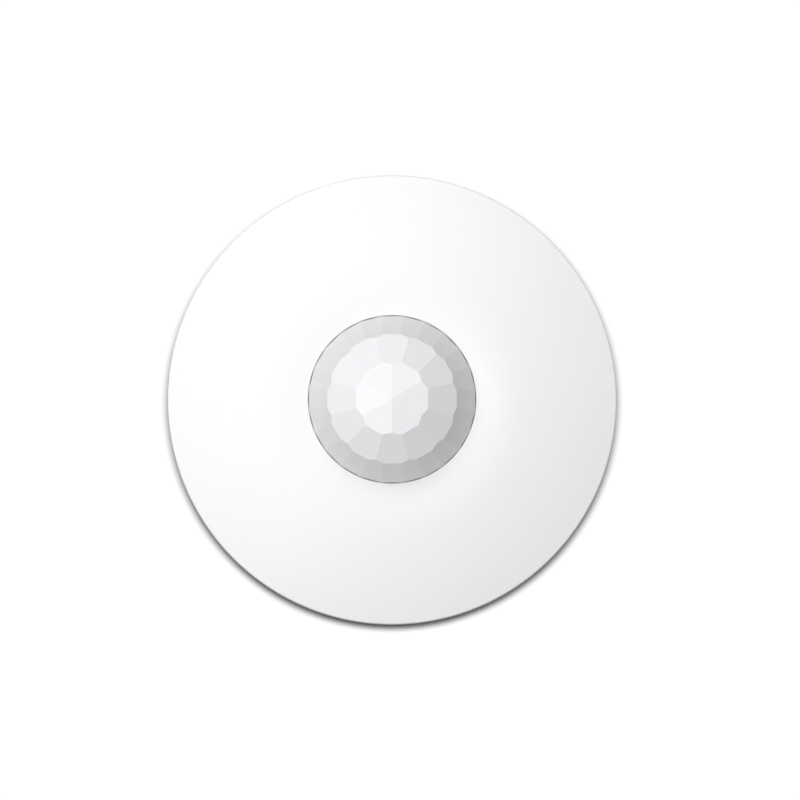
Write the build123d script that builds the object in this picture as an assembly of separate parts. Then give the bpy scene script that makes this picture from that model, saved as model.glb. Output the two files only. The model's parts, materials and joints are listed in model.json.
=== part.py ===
from build123d import *
import os
from math import asin, cos, radians, sin, tan

# A ceiling-mounted passive infrared motion sensor. Lengths are in millimetres and angles in degrees.
# The ceiling is the plane Z = 0 and the lens looks along +Z. The origin is the centre of the mounting face.
# Three assemblies share the Z axis: a base ring screwed to the ceiling, a sensor head that twists onto
# the base with three hooks, and a front cover with the lens that pulls straight off the head.

BOTTOM = (Align.CENTER, Align.CENTER, Align.MIN)
TURN = 360.0
CUT = 1.0  # how far a cutter runs past the face that it opens
JOIN = 0.2  # how far two shapes run into each other where they are fused
TURNING_GAP = 0.05  # between a screw or plunger and its hole
FIT_GAP = 0.1  # between two loosely fitting pieces
RECESS_LENGTH = 1.2  # of a driver recess, as a share of the screw head's radius
RECESS_WIDTH = 0.3
THREE_WAYS = (90.0, 210.0, 330.0)
BETWEEN_WAYS = (30.0, 150.0, 270.0)

# ------------------------------------------------------------------ front cover
COVER_RADIUS = 55.0
COVER_WALL = 2.0
SKIRT_INNER_RADIUS = 53.0
SKIRT_DRAFT = 0.1  # the skirt is this much narrower at its top edge
SHADOW_GAP = 1.0  # from the ceiling to the skirt's lower edge
RIM_ROUND = 0.4
CROWN_Z = 19.5  # the highest ring of the cover
CROWN_RING_RADIUS = 25.5
CROWN_ARC = 33.0  # section radius where the cover rolls over towards the lens
SLOPE_START_RADIUS = 32.0
SLOPE_ARC = 150.0  # section radius of the long outer slope
APERTURE_RADIUS = 20.55
LENS_SEAT_Z = 17.0
LENS_SEAT_RADIUS = 24.6

COVER_KEY_WIDTH = 3.0
COVER_KEY_INNER_RADIUS = 50.6
COVER_KEY_LOW_Z = 3.6
COVER_KEY_HIGH_Z = 12.4
BEAD_SPAN = 10.0
BEAD_UNDERCUT = 0.25
BEAD_HEIGHT = 1.0
PRY_NOTCH_ANGLE = 105.0
PRY_NOTCH_WIDTH = 8.0
PRY_NOTCH_DEPTH = 0.9
PRY_NOTCH_HEIGHT = 1.1
TAMPER_POST_RADIUS = 2.1

# ------------------------------------------------------------------ lens
# Each ring of flat facets: how many facets, how far they tilt, and the ring's outer radius.
LENS_RINGS = ((6, 12.0, 8.8), (12, 36.0, 15.8), (24, 60.0, 20.3))
LENS_BARREL_RADIUS = LENS_RINGS[-1][2]
LENS_SHOULDER_Z = 18.9  # where the middle of an outer facet meets the barrel
LENS_WALL = 0.7
LENS_FLANGE_RADIUS = 24.0
LENS_FLANGE_HEIGHT = 1.0
LENS_KEY_ANGLE = 150.0
LENS_KEY_WIDTH = 2.1
LENS_KEY_DEPTH = 1.2
LENS_KEY_GAP = 0.15

# ------------------------------------------------------------------ lens retainer
RETAINER_INNER_RADIUS = 19.4
RETAINER_OUTER_RADIUS = 24.2
RETAINER_LOW_Z = 14.8
RETAINER_HIGH_Z = LENS_SEAT_Z - LENS_FLANGE_HEIGHT
GUARD_WALL = 0.9
GUARD_LOW_Z = 9.3
EAR_PITCH_RADIUS = 27.5
EAR_RADIUS = 2.9
EAR_HOLE_RADIUS = 1.1
BOSS_RADIUS = 2.6
BOSS_HOLE_TOP_Z = 18.0
SMALL_SCREW_RADIUS = 0.95
SMALL_SCREW_TOP_Z = 17.6
SMALL_HEAD_RADIUS = 1.8
SMALL_HEAD_HEIGHT = 1.2
SMALL_HEAD_ROUND = 0.5
SMALL_RECESS_DEPTH = 0.7

# ------------------------------------------------------------------ sensor head chassis
WELL_FLOOR_LOW_Z = 0.8
WELL_FLOOR_HIGH_Z = 2.3
WELL_OUTER_RADIUS = 32.5
WELL_INNER_RADIUS = 31.0
LEDGE_LOW_Z = 5.0
LEDGE_HIGH_Z = 6.6
RIM_OUTER_RADIUS = 52.3
RIM_INNER_RADIUS = 50.8
RIM_LOW_Z = 2.2
RIM_HIGH_Z = 9.6
SNAP_FLANGE_RADIUS = 52.7
SNAP_FLANGE_HEIGHT = 1.0
KEYWAY_GAP = 0.25
POST_RADIUS = 2.8
POST_HOLE_LOW_Z = 2.6
STIFFENER_WIDTH = 1.2
STIFFENER_HEIGHT = 1.4
STIFFENER_STEP = 20.0
STIFFENER_MARGIN = 3.0  # the angle kept free beside each bayonet slot
LOCATOR_WIDTH = 1.2
LOCATOR_SPAN = 8.0
LOCATOR_GAP = 0.2
LOCATOR_HIGH_Z = 8.5
LOCATOR_ANGLES = (45.0, 135.0, 225.0, 315.0)

# ------------------------------------------------------------------ ceiling base
BASE_INNER_RADIUS = 32.8
BASE_OUTER_RADIUS = 49.6
BASE_WALL = 1.5
BASE_PLATE_HEIGHT = 1.8
BASE_WALL_TOP_Z = 4.9
BASE_RIB_TOP_Z = 3.9
BASE_RIB_COUNT = 12
SCREW_SLOT_PITCH_RADIUS = 41.5
SCREW_SLOT_LENGTH = 7.0
SCREW_SLOT_WIDTH = 4.2
CABLE_WINDOW_SPAN = 32.0
CABLE_WINDOW_OUTER_RADIUS = 47.9

# Bayonet: three L-shaped hooks on the base reach up through arc slots in the chassis.
HOOK_STARTS = (70.0, 190.0, 310.0)
HOOK_STEM_SPAN = 5.0
HOOK_NOSE_SPAN = 8.0
TWIST_TRAVEL = 10.0
HOOK_INNER_RADIUS = 43.5
HOOK_OUTER_RADIUS = 46.5
HOOK_GAP = 0.3
HOOK_GAP_SPAN = 0.5
NOSE_LOW_Z = 6.7
NOSE_HIGH_Z = 8.2

# ------------------------------------------------------------------ cable grommet
CABLE_ANGLE = 270.0
CABLE_DISTANCE = 42.8
GROMMET_HOLE_RADIUS = 4.0
GROMMET_NECK_RADIUS = 3.95
GROMMET_FLANGE_RADIUS = 5.0
GROMMET_FLANGE_HEIGHT = 1.0
CABLE_RADIUS = 2.2

# ------------------------------------------------------------------ circuit board
BOARD_RADIUS = 37.5
BOARD_LOW_Z = LEDGE_HIGH_Z
BOARD_TOP_Z = 8.2
BOARD_SCREW_DISTANCE = 28.5
BOARD_SCREW_RADIUS = 1.2
BOARD_SCREW_HOLE_RADIUS = 1.45
BOARD_SCREW_LOW_Z = 3.2
BOARD_HEAD_RADIUS = 2.3
BOARD_HEAD_HEIGHT = 1.8
BOARD_HEAD_ROUND = 0.8
BOARD_RECESS_DEPTH = 1.0
LEAD_RADIUS = 0.3
LEAD_HOLE_RADIUS = 0.45
LEAD_END_Z = 5.2

# ------------------------------------------------------------------ infrared sensor and indicator
SENSOR_FLANGE_RADIUS = 4.65
SENSOR_FLANGE_HEIGHT = 0.4
SENSOR_HEADER_TOP_Z = 8.8
SENSOR_CAN_RADIUS = 4.15
SENSOR_CAN_WALL = 0.3
SENSOR_ROOF = 0.4
SENSOR_TOP_Z = 12.4
SENSOR_OPENING = (5.2, 4.2)
SENSOR_WINDOW = (5.8, 4.8, 0.5)
SENSOR_CARRIER = (4.0, 3.4, 1.2)
SENSOR_PLATE = (1.0, 2.0, 0.2)
SENSOR_PLATE_OFFSET = 0.9
SENSOR_LEAD_DISTANCE = 2.54
SENSOR_LEAD_ANGLES = (45.0, 135.0, 270.0)
COLLAR_INNER_RADIUS = 4.85
COLLAR_OUTER_RADIUS = 6.4
COLLAR_FOOT_RADIUS = 7.3
COLLAR_FOOT_HEIGHT = 0.8
COLLAR_TOP_Z = 11.4
LED_PLACE = (10.6, 0.0)
LED_RADIUS = 1.5
LED_FLANGE_RADIUS = 1.9
LED_FLANGE_HEIGHT = 0.9
LED_TOP_Z = 12.6
LED_LEAD_SPACING = 2.54

# ------------------------------------------------------------------ terminal block
TERMINAL_COUNT = 6
TERMINAL_PITCH = 3.81
TERMINAL_Y = -29.6
TERMINAL_DEPTH = 7.2
TERMINAL_TOP_Z = 15.6
TERMINAL_END_WALL = 0.5
TERMINAL_CHAMFER = 1.2
SHAFT = (2.9, 4.4)
SHAFT_LOW_Z = 9.0
SHAFT_HIGH_Z = 13.9
DRIVER_HOLE_RADIUS = 1.45
WIRE_ENTRY_WIDTH = 2.3
WIRE_ENTRY_LENGTH = 3.0
WIRE_ENTRY_LOW_Z = 9.4
WIRE_ENTRY_HIGH_Z = 11.6
TERMINAL_HEAD_RADIUS = 1.3
TERMINAL_HEAD_LOW_Z = 13.95
TERMINAL_HEAD_HIGH_Z = 15.3
TERMINAL_SHANK_RADIUS = 0.85
TERMINAL_SHANK_LOW_Z = 11.7
DRIVER_SLOT_WIDTH = 0.45
DRIVER_SLOT_DEPTH = 0.6
CLAMP = (2.6, 4.1, 3.5)
CLAMP_LOW_Z = 9.1
CLAMP_FLOOR = 0.5
CLAMP_CEILING = 1.0
CLAMP_SIDE = 0.35
BLADE_LOW_Z = 11.0
BLADE_HIGH_Z = 11.4
BLADE_WIDTH = 1.4
BLADE_REACH = 4.75
LEG_THICKNESS = 0.5
LEG_FROM_REAR = 1.0  # from the housing's rear face to the middle of the leg
PIN_WIDTH = 0.9
PIN_HOLE_RADIUS = 0.75

# ------------------------------------------------------------------ relay, trimmer and switches
RELAY_PLACE = (26.5, -1.0)
RELAY = (7.4, 10.8, 6.2)
RELAY_LEAD_SPACING = (5.0, 2.4)
RELAY_LEAD_ROWS = 4
TRIMMER_PLACE = (24.5, 11.8)
TRIMMER = (6.8, 6.8, 4.8)
TRIMMER_BORE_RADIUS = 2.4
TRIMMER_BORE_DEPTH = 1.6
ROTOR_RADIUS = 2.3
ROTOR_STANDS_OUT = 0.3
ROTOR_SLOT = (3.4, 0.7, 0.8)
TRIMMER_LEADS = ((-2.5, -1.3), (2.5, -1.3), (0.0, 2.4))
SWITCH_BANK_PLACE = (-26.5, 2.0)
SWITCH_BANK = (8.0, 10.8, 4.4)
SWITCH_LEAD_SPACING = 6.8
SWITCH_PITCH = 2.54
SWITCH_TRAVEL = 1.8
SWITCH_IS_ON = (True, False, True, False)
SLIDER_TRACK = (5.0, 1.5, 1.2)
SLIDER_SLOT = (3.5, 1.3)
SLIDER_ROOF = 0.8
SLIDER_FOOT = (2.8, 1.3, 1.0)
SLIDER_KNOB = (1.5, 1.1)
SLIDER_STANDS_OUT = 0.5
TAMPER_PLACE = (14.5, 24.5)
TAMPER_WIDTH = 6.4
TAMPER_TOP_Z = 13.8
TAMPER_BORE_RADIUS = 2.3
TAMPER_BORE_LOW_Z = 8.8
TAMPER_BORE_HIGH_Z = 13.0
TAMPER_STEM_RADIUS = 1.2
TAMPER_TIP_Z = 15.0
TAMPER_COLLAR_RADIUS = 2.15
TAMPER_COLLAR_LOW_Z = 10.4
TAMPER_COLLAR_HIGH_Z = 11.0
TAMPER_LEAD_SPACING = 5.2
SPRING_RADIUS = 1.5
SPRING_WIRE_RADIUS = 0.14
SPRING_COILS = 3
SPRING_GAP = 0.02

# ------------------------------------------------------------------ small board parts
# Each capacitor: its place, radius and height.
CAPACITORS = (((-12.5, 26.0), 3.15, 7.2), ((-20.0, 19.0), 2.5, 5.8))
CAPACITOR_GROOVE_HEIGHT = 1.2
CAPACITOR_GROOVE_RADIUS = 0.45
CAPACITOR_GROOVE_OFFSET = 0.25
CAPACITOR_LEAD_SPACING = 2.5
EDGE_BREAK = 0.4
# Each chip: its place and size.
CONTROLLER = ((-11.6, 0.0), (3.9, 8.6, 1.5))
AMPLIFIER = ((0.0, 12.5), (5.0, 3.9, 1.5))
REGULATOR = ((-12.5, -21.0), (4.5, 2.5, 1.5))
CHIP_STANDOFF = 0.1
CHIP_CHAMFER = 0.2
CHIP_LEG = (1.0, 0.45, 0.25)
CHIP_LEG_PITCH = 1.2
CONTROLLER_LEGS = 7
AMPLIFIER_LEGS = 4
DIODE = (4.3, 2.6, 2.1)
DIODE_PLACES = ((10.5, -21.8), (15.0, -19.0))
RESISTOR = (1.6, 0.8, 0.5)
RESISTOR_PLACES = ((-3.0, -9.5), (0.0, -9.5), (3.0, -9.5), (6.0, -12.0), (-6.0, -12.0), (8.5, 8.5),
                   (-16.5, 6.0), (-16.5, 8.0), (-6.5, -23.0), (5.0, -23.0), (20.5, 17.5), (33.0, 9.0))
CHIP_CAPACITOR = (2.0, 1.25, 0.9)
CHIP_CAPACITOR_PLACES = ((-6.5, 9.5), (6.5, 13.0), (-6.5, 13.0), (-15.8, -6.0), (9.5, -7.0), (0.0, -14.5),
                         (-17.5, -19.0), (-33.5, -5.0), (32.5, -9.5), (5.5, 32.5))


# ------------------------------------------------------------------ shared helpers
def polar(radius, angle):
    """X and Y of a point given by its distance from the Z axis and its angle."""
    return radius * cos(radians(angle)), radius * sin(radians(angle))


def disc(radius, low, high, x=0.0, y=0.0):
    """An upright cylinder between two heights."""
    return Pos(x, y, low) * Cylinder(radius, high - low, align=BOTTOM)


def ring(outer, inner, low, high):
    """An upright tube on the Z axis."""
    return disc(outer, low, high) - disc(inner, low - CUT, high + CUT)


def block(size_x, size_y, low, high, x=0.0, y=0.0):
    """An upright box between two heights."""
    return Pos(x, y, low) * Box(size_x, size_y, high - low, align=BOTTOM)


def on_board(size, place):
    """A box that stands on the board."""
    return block(size[0], size[1], BOARD_TOP_Z, BOARD_TOP_Z + size[2], *place)


def sector(outer, inner, low, high, start, end):
    """The part of a tube between two angles."""
    section = Plane.XZ * Pos((inner + outer) / 2, (low + high) / 2) * Rectangle(outer - inner, high - low)
    return Rot(0, 0, start) * revolve(section, Axis.Z, end - start)


def radial_bar(inner, outer, width, low, high, angle):
    """A straight bar that points away from the Z axis."""
    bar = block(outer - inner, width, low, high, (inner + outer) / 2)
    return Rot(0, 0, angle) * bar


def cross(length, width, low, high, x, y):
    """Two crossed bars."""
    return block(length, width, low, high, x, y) + block(width, length, low, high, x, y)


def driver_recess(head_radius, low, high, x, y):
    """The cross-shaped recess of a screw head."""
    return cross(RECESS_LENGTH * head_radius, RECESS_WIDTH * head_radius, low, high, x, y)


def places_around(distance, angles):
    """Points at one distance from the Z axis."""
    return [polar(distance, angle) for angle in angles]


def either_side(place, spacing):
    """Two points spaced along X about a place."""
    return [(place[0] + side * spacing / 2, place[1]) for side in (-1, 1)]


def row_along_y(place, count, pitch):
    """Points spaced along Y about a place."""
    return [(place[0], place[1] + (i - (count - 1) / 2) * pitch) for i in range(count)]


def row_along_x(place, count, pitch):
    """Points spaced along X about a place."""
    return [(place[0] + (i - (count - 1) / 2) * pitch, place[1]) for i in range(count)]


def terminal_places():
    return row_along_x((0.0, TERMINAL_Y), TERMINAL_COUNT, TERMINAL_PITCH)


def leg_y():
    """Y of the terminal legs, just inside the housing's rear face."""
    return TERMINAL_Y + TERMINAL_DEPTH / 2 - LEG_FROM_REAR


def switch_places():
    return row_along_y(SWITCH_BANK_PLACE, len(SWITCH_IS_ON), SWITCH_PITCH)


# ------------------------------------------------------------------ front cover
def cover_arcs(wall):
    """The crown arc and the slope arc of the roof, moved inwards by wall, and their two free ends."""
    turn = asin((SLOPE_START_RADIUS - CROWN_RING_RADIUS) / CROWN_ARC)
    crown_x = CROWN_RING_RADIUS
    crown_z = CROWN_Z - CROWN_ARC
    slope_x = crown_x - (SLOPE_ARC - CROWN_ARC) * sin(turn)
    slope_z = crown_z - (SLOPE_ARC - CROWN_ARC) * cos(turn)

    def on_crown(angle):
        return crown_x + (CROWN_ARC - wall) * sin(angle), crown_z + (CROWN_ARC - wall) * cos(angle)

    def on_slope(angle):
        return slope_x + (SLOPE_ARC - wall) * sin(angle), slope_z + (SLOPE_ARC - wall) * cos(angle)

    inner_radius = LENS_SEAT_RADIUS if wall else APERTURE_RADIUS
    outer_radius = SKIRT_INNER_RADIUS if wall else COVER_RADIUS - SKIRT_DRAFT
    first = asin((inner_radius - crown_x) / (CROWN_ARC - wall))
    last = asin((outer_radius - slope_x) / (SLOPE_ARC - wall))
    crown = ThreePointArc(on_crown(first), on_crown((first + turn) / 2), on_crown(turn))
    slope = ThreePointArc(on_slope(turn), on_slope((turn + last) / 2), on_slope(last))
    return crown + slope, on_crown(first), on_slope(last)


def cover_envelope():
    """The cover as a solid dome, used to trim what grows from its inside."""
    roof, inner_end, outer_end = cover_arcs(0)
    rest = Polyline(outer_end, (COVER_RADIUS, SHADOW_GAP), (0, SHADOW_GAP), (0, inner_end[1]), inner_end)
    return revolve(Plane.XZ * make_face(roof + rest), Axis.Z)


def cover_shell():
    """The dome and skirt, with the step that seats the lens flange."""
    outer_roof, outer_first, outer_last = cover_arcs(0)
    inner_roof, inner_first, inner_last = cover_arcs(COVER_WALL)
    skirt = Polyline(outer_last, (COVER_RADIUS, SHADOW_GAP), (SKIRT_INNER_RADIUS, SHADOW_GAP), inner_last)
    seat = Polyline(inner_first, (LENS_SEAT_RADIUS, LENS_SEAT_Z), (APERTURE_RADIUS, LENS_SEAT_Z), outer_first)
    section = make_face(outer_roof + skirt + inner_roof + seat)
    rim_corner = section.vertices().sort_by_distance(outer_last)[0]
    return revolve(Plane.XZ * fillet(rim_corner, RIM_ROUND), Axis.Z)


def cover_keys():
    """Ribs inside the skirt that fit keyways in the chassis."""
    outer = SKIRT_INNER_RADIUS + 2 * JOIN
    return [radial_bar(COVER_KEY_INNER_RADIUS, outer, COVER_KEY_WIDTH, COVER_KEY_LOW_Z, COVER_KEY_HIGH_Z,
                       angle)
            for angle in BETWEEN_WAYS]


def cover_beads():
    """Snap beads inside the skirt's lower edge, which hook under the chassis flange."""
    outer = SKIRT_INNER_RADIUS + 2 * JOIN
    inner = SNAP_FLANGE_RADIUS - BEAD_UNDERCUT
    top = SHADOW_GAP + BEAD_HEIGHT
    return [sector(outer, inner, SHADOW_GAP, top, angle - BEAD_SPAN / 2, angle + BEAD_SPAN / 2)
            for angle in THREE_WAYS]


def cover_bosses():
    """Bosses for the retainer screws, and the post that holds the tamper plunger down."""
    bosses = [disc(BOSS_RADIUS, RETAINER_HIGH_Z, CROWN_Z - CUT, x, y)
              for x, y in places_around(EAR_PITCH_RADIUS, THREE_WAYS)]
    post = disc(TAMPER_POST_RADIUS, TAMPER_TIP_Z + TURNING_GAP, CROWN_Z - CUT, *TAMPER_PLACE)
    return bosses + [post]


def cover_lens_key():
    """A small rib in the lens seat that stops the lens from turning."""
    inner = LENS_FLANGE_RADIUS - LENS_KEY_DEPTH
    outer = LENS_SEAT_RADIUS + 2 * JOIN
    return radial_bar(inner, outer, LENS_KEY_WIDTH, RETAINER_HIGH_Z + FIT_GAP, LENS_SEAT_Z + 2 * JOIN,
                      LENS_KEY_ANGLE)


def front_cover():
    """Domed cover with the lens opening, lens seat, screw bosses, locating keys and snap beads."""
    inside = Part() + cover_keys() + cover_beads() + cover_bosses() + cover_lens_key()
    cover = cover_shell() + (inside & cover_envelope())
    for x, y in places_around(EAR_PITCH_RADIUS, THREE_WAYS):
        cover -= disc(SMALL_SCREW_RADIUS + TURNING_GAP, RETAINER_HIGH_Z - CUT, BOSS_HOLE_TOP_Z, x, y)
    notch_inner = COVER_RADIUS - PRY_NOTCH_DEPTH
    return cover - radial_bar(notch_inner, COVER_RADIUS + CUT, PRY_NOTCH_WIDTH, 0,
                              SHADOW_GAP + PRY_NOTCH_HEIGHT, PRY_NOTCH_ANGLE)


# ------------------------------------------------------------------ lens and its retainer
def ring_drops():
    """How far each ring of facets falls from its inner edge to its outer edge."""
    drops = []
    inner_radius = 0.0
    for _, tilt, outer_radius in LENS_RINGS:
        drops.append((outer_radius - inner_radius) * tan(radians(tilt)))
        inner_radius = outer_radius
    return drops


def lens_tip_z():
    return LENS_SHOULDER_Z + sum(ring_drops())


def facet_planes(inset):
    """The plane of every facet, moved inwards by inset, with its normal pointing out."""
    planes = []
    inner_radius = 0.0
    inner_z = lens_tip_z()
    for (count, tilt, outer_radius), drop in zip(LENS_RINGS, ring_drops()):
        middle_radius = (inner_radius + outer_radius) / 2
        for i in range(count):
            azimuth = TURN / count * i
            normal = Vector(*polar(sin(radians(tilt)), azimuth), cos(radians(tilt)))
            middle = Vector(*polar(middle_radius, azimuth), inner_z - drop / 2)
            planes.append(Plane(origin=middle - normal * inset, z_dir=normal))
        inner_radius = outer_radius
        inner_z -= drop
    return planes


def faceted_dome(radius, inset, low):
    """A cylinder cut by every facet plane."""
    dome = disc(radius, low, lens_tip_z() + CUT)
    for plane in facet_planes(inset):
        dome = split(dome, bisect_by=plane, keep=Keep.BOTTOM)
    return dome


def fresnel_lens():
    """Faceted dome of even wall thickness on a short barrel, with a flange that the retainer clamps."""
    outside = faceted_dome(LENS_BARREL_RADIUS, 0.0, RETAINER_HIGH_Z)
    inside = faceted_dome(LENS_BARREL_RADIUS - LENS_WALL, LENS_WALL, RETAINER_HIGH_Z - CUT)
    flange = disc(LENS_FLANGE_RADIUS, RETAINER_HIGH_Z, LENS_SEAT_Z)
    notch_inner = LENS_FLANGE_RADIUS - LENS_KEY_DEPTH - LENS_KEY_GAP
    notch = radial_bar(notch_inner, LENS_FLANGE_RADIUS + CUT, LENS_KEY_WIDTH + 2 * LENS_KEY_GAP,
                       RETAINER_HIGH_Z - CUT, LENS_SEAT_Z + CUT, LENS_KEY_ANGLE)
    return outside + flange - inside - notch


def lens_retainer():
    """Ring that clamps the lens flange, with three screw ears and a skirt that keeps insects out."""
    body = disc(RETAINER_OUTER_RADIUS, RETAINER_LOW_Z, RETAINER_HIGH_Z)
    for angle in THREE_WAYS:
        body += radial_bar(RETAINER_INNER_RADIUS + CUT, EAR_PITCH_RADIUS, 2 * EAR_RADIUS, RETAINER_LOW_Z,
                           RETAINER_HIGH_Z, angle)
        body += disc(EAR_RADIUS, RETAINER_LOW_Z, RETAINER_HIGH_Z, *polar(EAR_PITCH_RADIUS, angle))
    body += disc(RETAINER_INNER_RADIUS + GUARD_WALL, GUARD_LOW_Z, RETAINER_LOW_Z + JOIN)
    body -= disc(RETAINER_INNER_RADIUS, GUARD_LOW_Z - CUT, RETAINER_HIGH_Z + CUT)
    for x, y in places_around(EAR_PITCH_RADIUS, THREE_WAYS):
        body -= disc(EAR_HOLE_RADIUS, RETAINER_LOW_Z - CUT, RETAINER_HIGH_Z + CUT, x, y)
    return body


def retainer_screws():
    """Three pan-head screws, heads down, that hold the retainer to the cover's bosses."""
    screws = []
    head_low = RETAINER_LOW_Z - SMALL_HEAD_HEIGHT
    for x, y in places_around(EAR_PITCH_RADIUS, THREE_WAYS):
        head = disc(SMALL_HEAD_RADIUS, head_low, RETAINER_LOW_Z, x, y)
        head = fillet(head.edges().group_by(Axis.Z)[0], SMALL_HEAD_ROUND)
        shank = disc(SMALL_SCREW_RADIUS, RETAINER_LOW_Z - JOIN, SMALL_SCREW_TOP_Z, x, y)
        recess = driver_recess(SMALL_HEAD_RADIUS, head_low - CUT, head_low + SMALL_RECESS_DEPTH, x, y)
        screws.append(head + shank - recess)
    return Part() + screws


# ------------------------------------------------------------------ sensor head chassis
def chassis_tray():
    """The well for the board's leads, the ledge that carries the board, the rim and its snap flange."""
    tray = disc(WELL_OUTER_RADIUS, WELL_FLOOR_LOW_Z, LEDGE_HIGH_Z)
    tray += disc(RIM_OUTER_RADIUS, LEDGE_LOW_Z, LEDGE_HIGH_Z)
    tray += ring(RIM_OUTER_RADIUS, RIM_INNER_RADIUS, RIM_LOW_Z, RIM_HIGH_Z)
    tray += ring(SNAP_FLANGE_RADIUS, RIM_INNER_RADIUS, RIM_LOW_Z, RIM_LOW_Z + SNAP_FLANGE_HEIGHT)
    return tray - disc(WELL_INNER_RADIUS, WELL_FLOOR_HIGH_Z, LEDGE_HIGH_Z + CUT)


def clear_of_openings(angle):
    """True if a stiffener at this angle misses the bayonet slots, the turning hooks and the grommet."""
    sweep = TWIST_TRAVEL + HOOK_STEM_SPAN + HOOK_NOSE_SPAN + 2 * STIFFENER_MARGIN
    before = TWIST_TRAVEL + STIFFENER_MARGIN
    misses_hooks = all((angle - start + before) % TURN >= sweep for start in HOOK_STARTS)
    return misses_hooks and abs(angle - CABLE_ANGLE) > TWIST_TRAVEL


def chassis_stiffeners():
    angles = [STIFFENER_STEP * i for i in range(round(TURN / STIFFENER_STEP))]
    inner = BOARD_RADIUS + LOCATOR_GAP + LOCATOR_WIDTH + JOIN
    return [radial_bar(inner, RIM_INNER_RADIUS + JOIN, STIFFENER_WIDTH, LEDGE_HIGH_Z - JOIN,
                       LEDGE_HIGH_Z + STIFFENER_HEIGHT, angle)
            for angle in angles if clear_of_openings(angle)]


def board_locators():
    """Four short curved ribs round the board's edge."""
    inner = BOARD_RADIUS + LOCATOR_GAP
    return [sector(inner + LOCATOR_WIDTH, inner, LEDGE_HIGH_Z - JOIN, LOCATOR_HIGH_Z,
                   angle - LOCATOR_SPAN / 2, angle + LOCATOR_SPAN / 2)
            for angle in LOCATOR_ANGLES]


def chassis():
    """Shallow tray that carries the board and locks onto the base."""
    body = chassis_tray() + chassis_stiffeners() + board_locators()
    for x, y in places_around(BOARD_SCREW_DISTANCE, THREE_WAYS):
        body += disc(POST_RADIUS, WELL_FLOOR_HIGH_Z - JOIN, BOARD_LOW_Z, x, y)
        body -= disc(BOARD_SCREW_RADIUS + TURNING_GAP, POST_HOLE_LOW_Z, BOARD_LOW_Z + CUT, x, y)
    for start in HOOK_STARTS:
        body -= sector(HOOK_OUTER_RADIUS + HOOK_GAP, HOOK_INNER_RADIUS - HOOK_GAP, LEDGE_LOW_Z - CUT,
                       LEDGE_HIGH_Z + CUT, start - TWIST_TRAVEL - HOOK_GAP_SPAN,
                       start + HOOK_STEM_SPAN + HOOK_GAP_SPAN)
    keyway_width = COVER_KEY_WIDTH + 2 * KEYWAY_GAP
    for angle in BETWEEN_WAYS:
        body -= radial_bar(COVER_KEY_INNER_RADIUS - KEYWAY_GAP, SNAP_FLANGE_RADIUS + CUT, keyway_width,
                           COVER_KEY_LOW_Z - KEYWAY_GAP, RIM_HIGH_Z + CUT, angle)
    cable_place = polar(CABLE_DISTANCE, CABLE_ANGLE)
    return body - disc(GROMMET_HOLE_RADIUS, LEDGE_LOW_Z - CUT, LEDGE_HIGH_Z + CUT, *cable_place)


# ------------------------------------------------------------------ ceiling base
def base_ribs():
    """Low ribs across the channel, left out at the cable window."""
    angles = [TURN / BASE_RIB_COUNT * (i + 0.5) for i in range(BASE_RIB_COUNT)]
    return [radial_bar(BASE_INNER_RADIUS + CUT, BASE_OUTER_RADIUS - CUT, STIFFENER_WIDTH,
                       BASE_PLATE_HEIGHT - JOIN, BASE_RIB_TOP_Z, angle)
            for angle in angles if abs(angle - CABLE_ANGLE) > CABLE_WINDOW_SPAN / 2]


def bayonet_hook(start):
    """One hook: a stem from the base plate and a nose that lies over the chassis ledge."""
    stem_end = start + HOOK_STEM_SPAN
    nose_end = stem_end + HOOK_NOSE_SPAN
    stem = sector(HOOK_OUTER_RADIUS, HOOK_INNER_RADIUS, BASE_PLATE_HEIGHT - JOIN, NOSE_HIGH_Z, start,
                  stem_end)
    nose = sector(HOOK_OUTER_RADIUS, HOOK_INNER_RADIUS, NOSE_LOW_Z, NOSE_HIGH_Z, stem_end - JOIN, nose_end)
    return stem + nose


def ceiling_base():
    """Channel-shaped ring with two screw slots, a cable window and three bayonet hooks."""
    body = ring(BASE_OUTER_RADIUS, BASE_INNER_RADIUS, 0, BASE_WALL_TOP_Z)
    body -= ring(BASE_OUTER_RADIUS - BASE_WALL, BASE_INNER_RADIUS + BASE_WALL, BASE_PLATE_HEIGHT,
                 BASE_WALL_TOP_Z + CUT)
    body += base_ribs()
    body -= sector(CABLE_WINDOW_OUTER_RADIUS, BASE_INNER_RADIUS + BASE_WALL, -CUT, BASE_WALL_TOP_Z + CUT,
                   CABLE_ANGLE - CABLE_WINDOW_SPAN / 2, CABLE_ANGLE + CABLE_WINDOW_SPAN / 2)
    slot = extrude(SlotOverall(SCREW_SLOT_LENGTH, SCREW_SLOT_WIDTH), BASE_WALL_TOP_Z)
    for x, y in either_side((0.0, 0.0), 2 * SCREW_SLOT_PITCH_RADIUS):
        body -= Pos(x, y, -CUT) * slot
    return body + [bayonet_hook(start) for start in HOOK_STARTS]


def cable_grommet():
    """Rubber grommet in the chassis ledge, with a bore for the alarm cable."""
    place = polar(CABLE_DISTANCE, CABLE_ANGLE)
    low = LEDGE_LOW_Z - GROMMET_FLANGE_HEIGHT
    high = LEDGE_HIGH_Z + GROMMET_FLANGE_HEIGHT
    body = disc(GROMMET_NECK_RADIUS, low, high, *place)
    body += disc(GROMMET_FLANGE_RADIUS, low, LEDGE_LOW_Z, *place)
    body += disc(GROMMET_FLANGE_RADIUS, LEDGE_HIGH_Z, high, *place)
    return body - disc(CABLE_RADIUS, low - CUT, high + CUT, *place)


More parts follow.
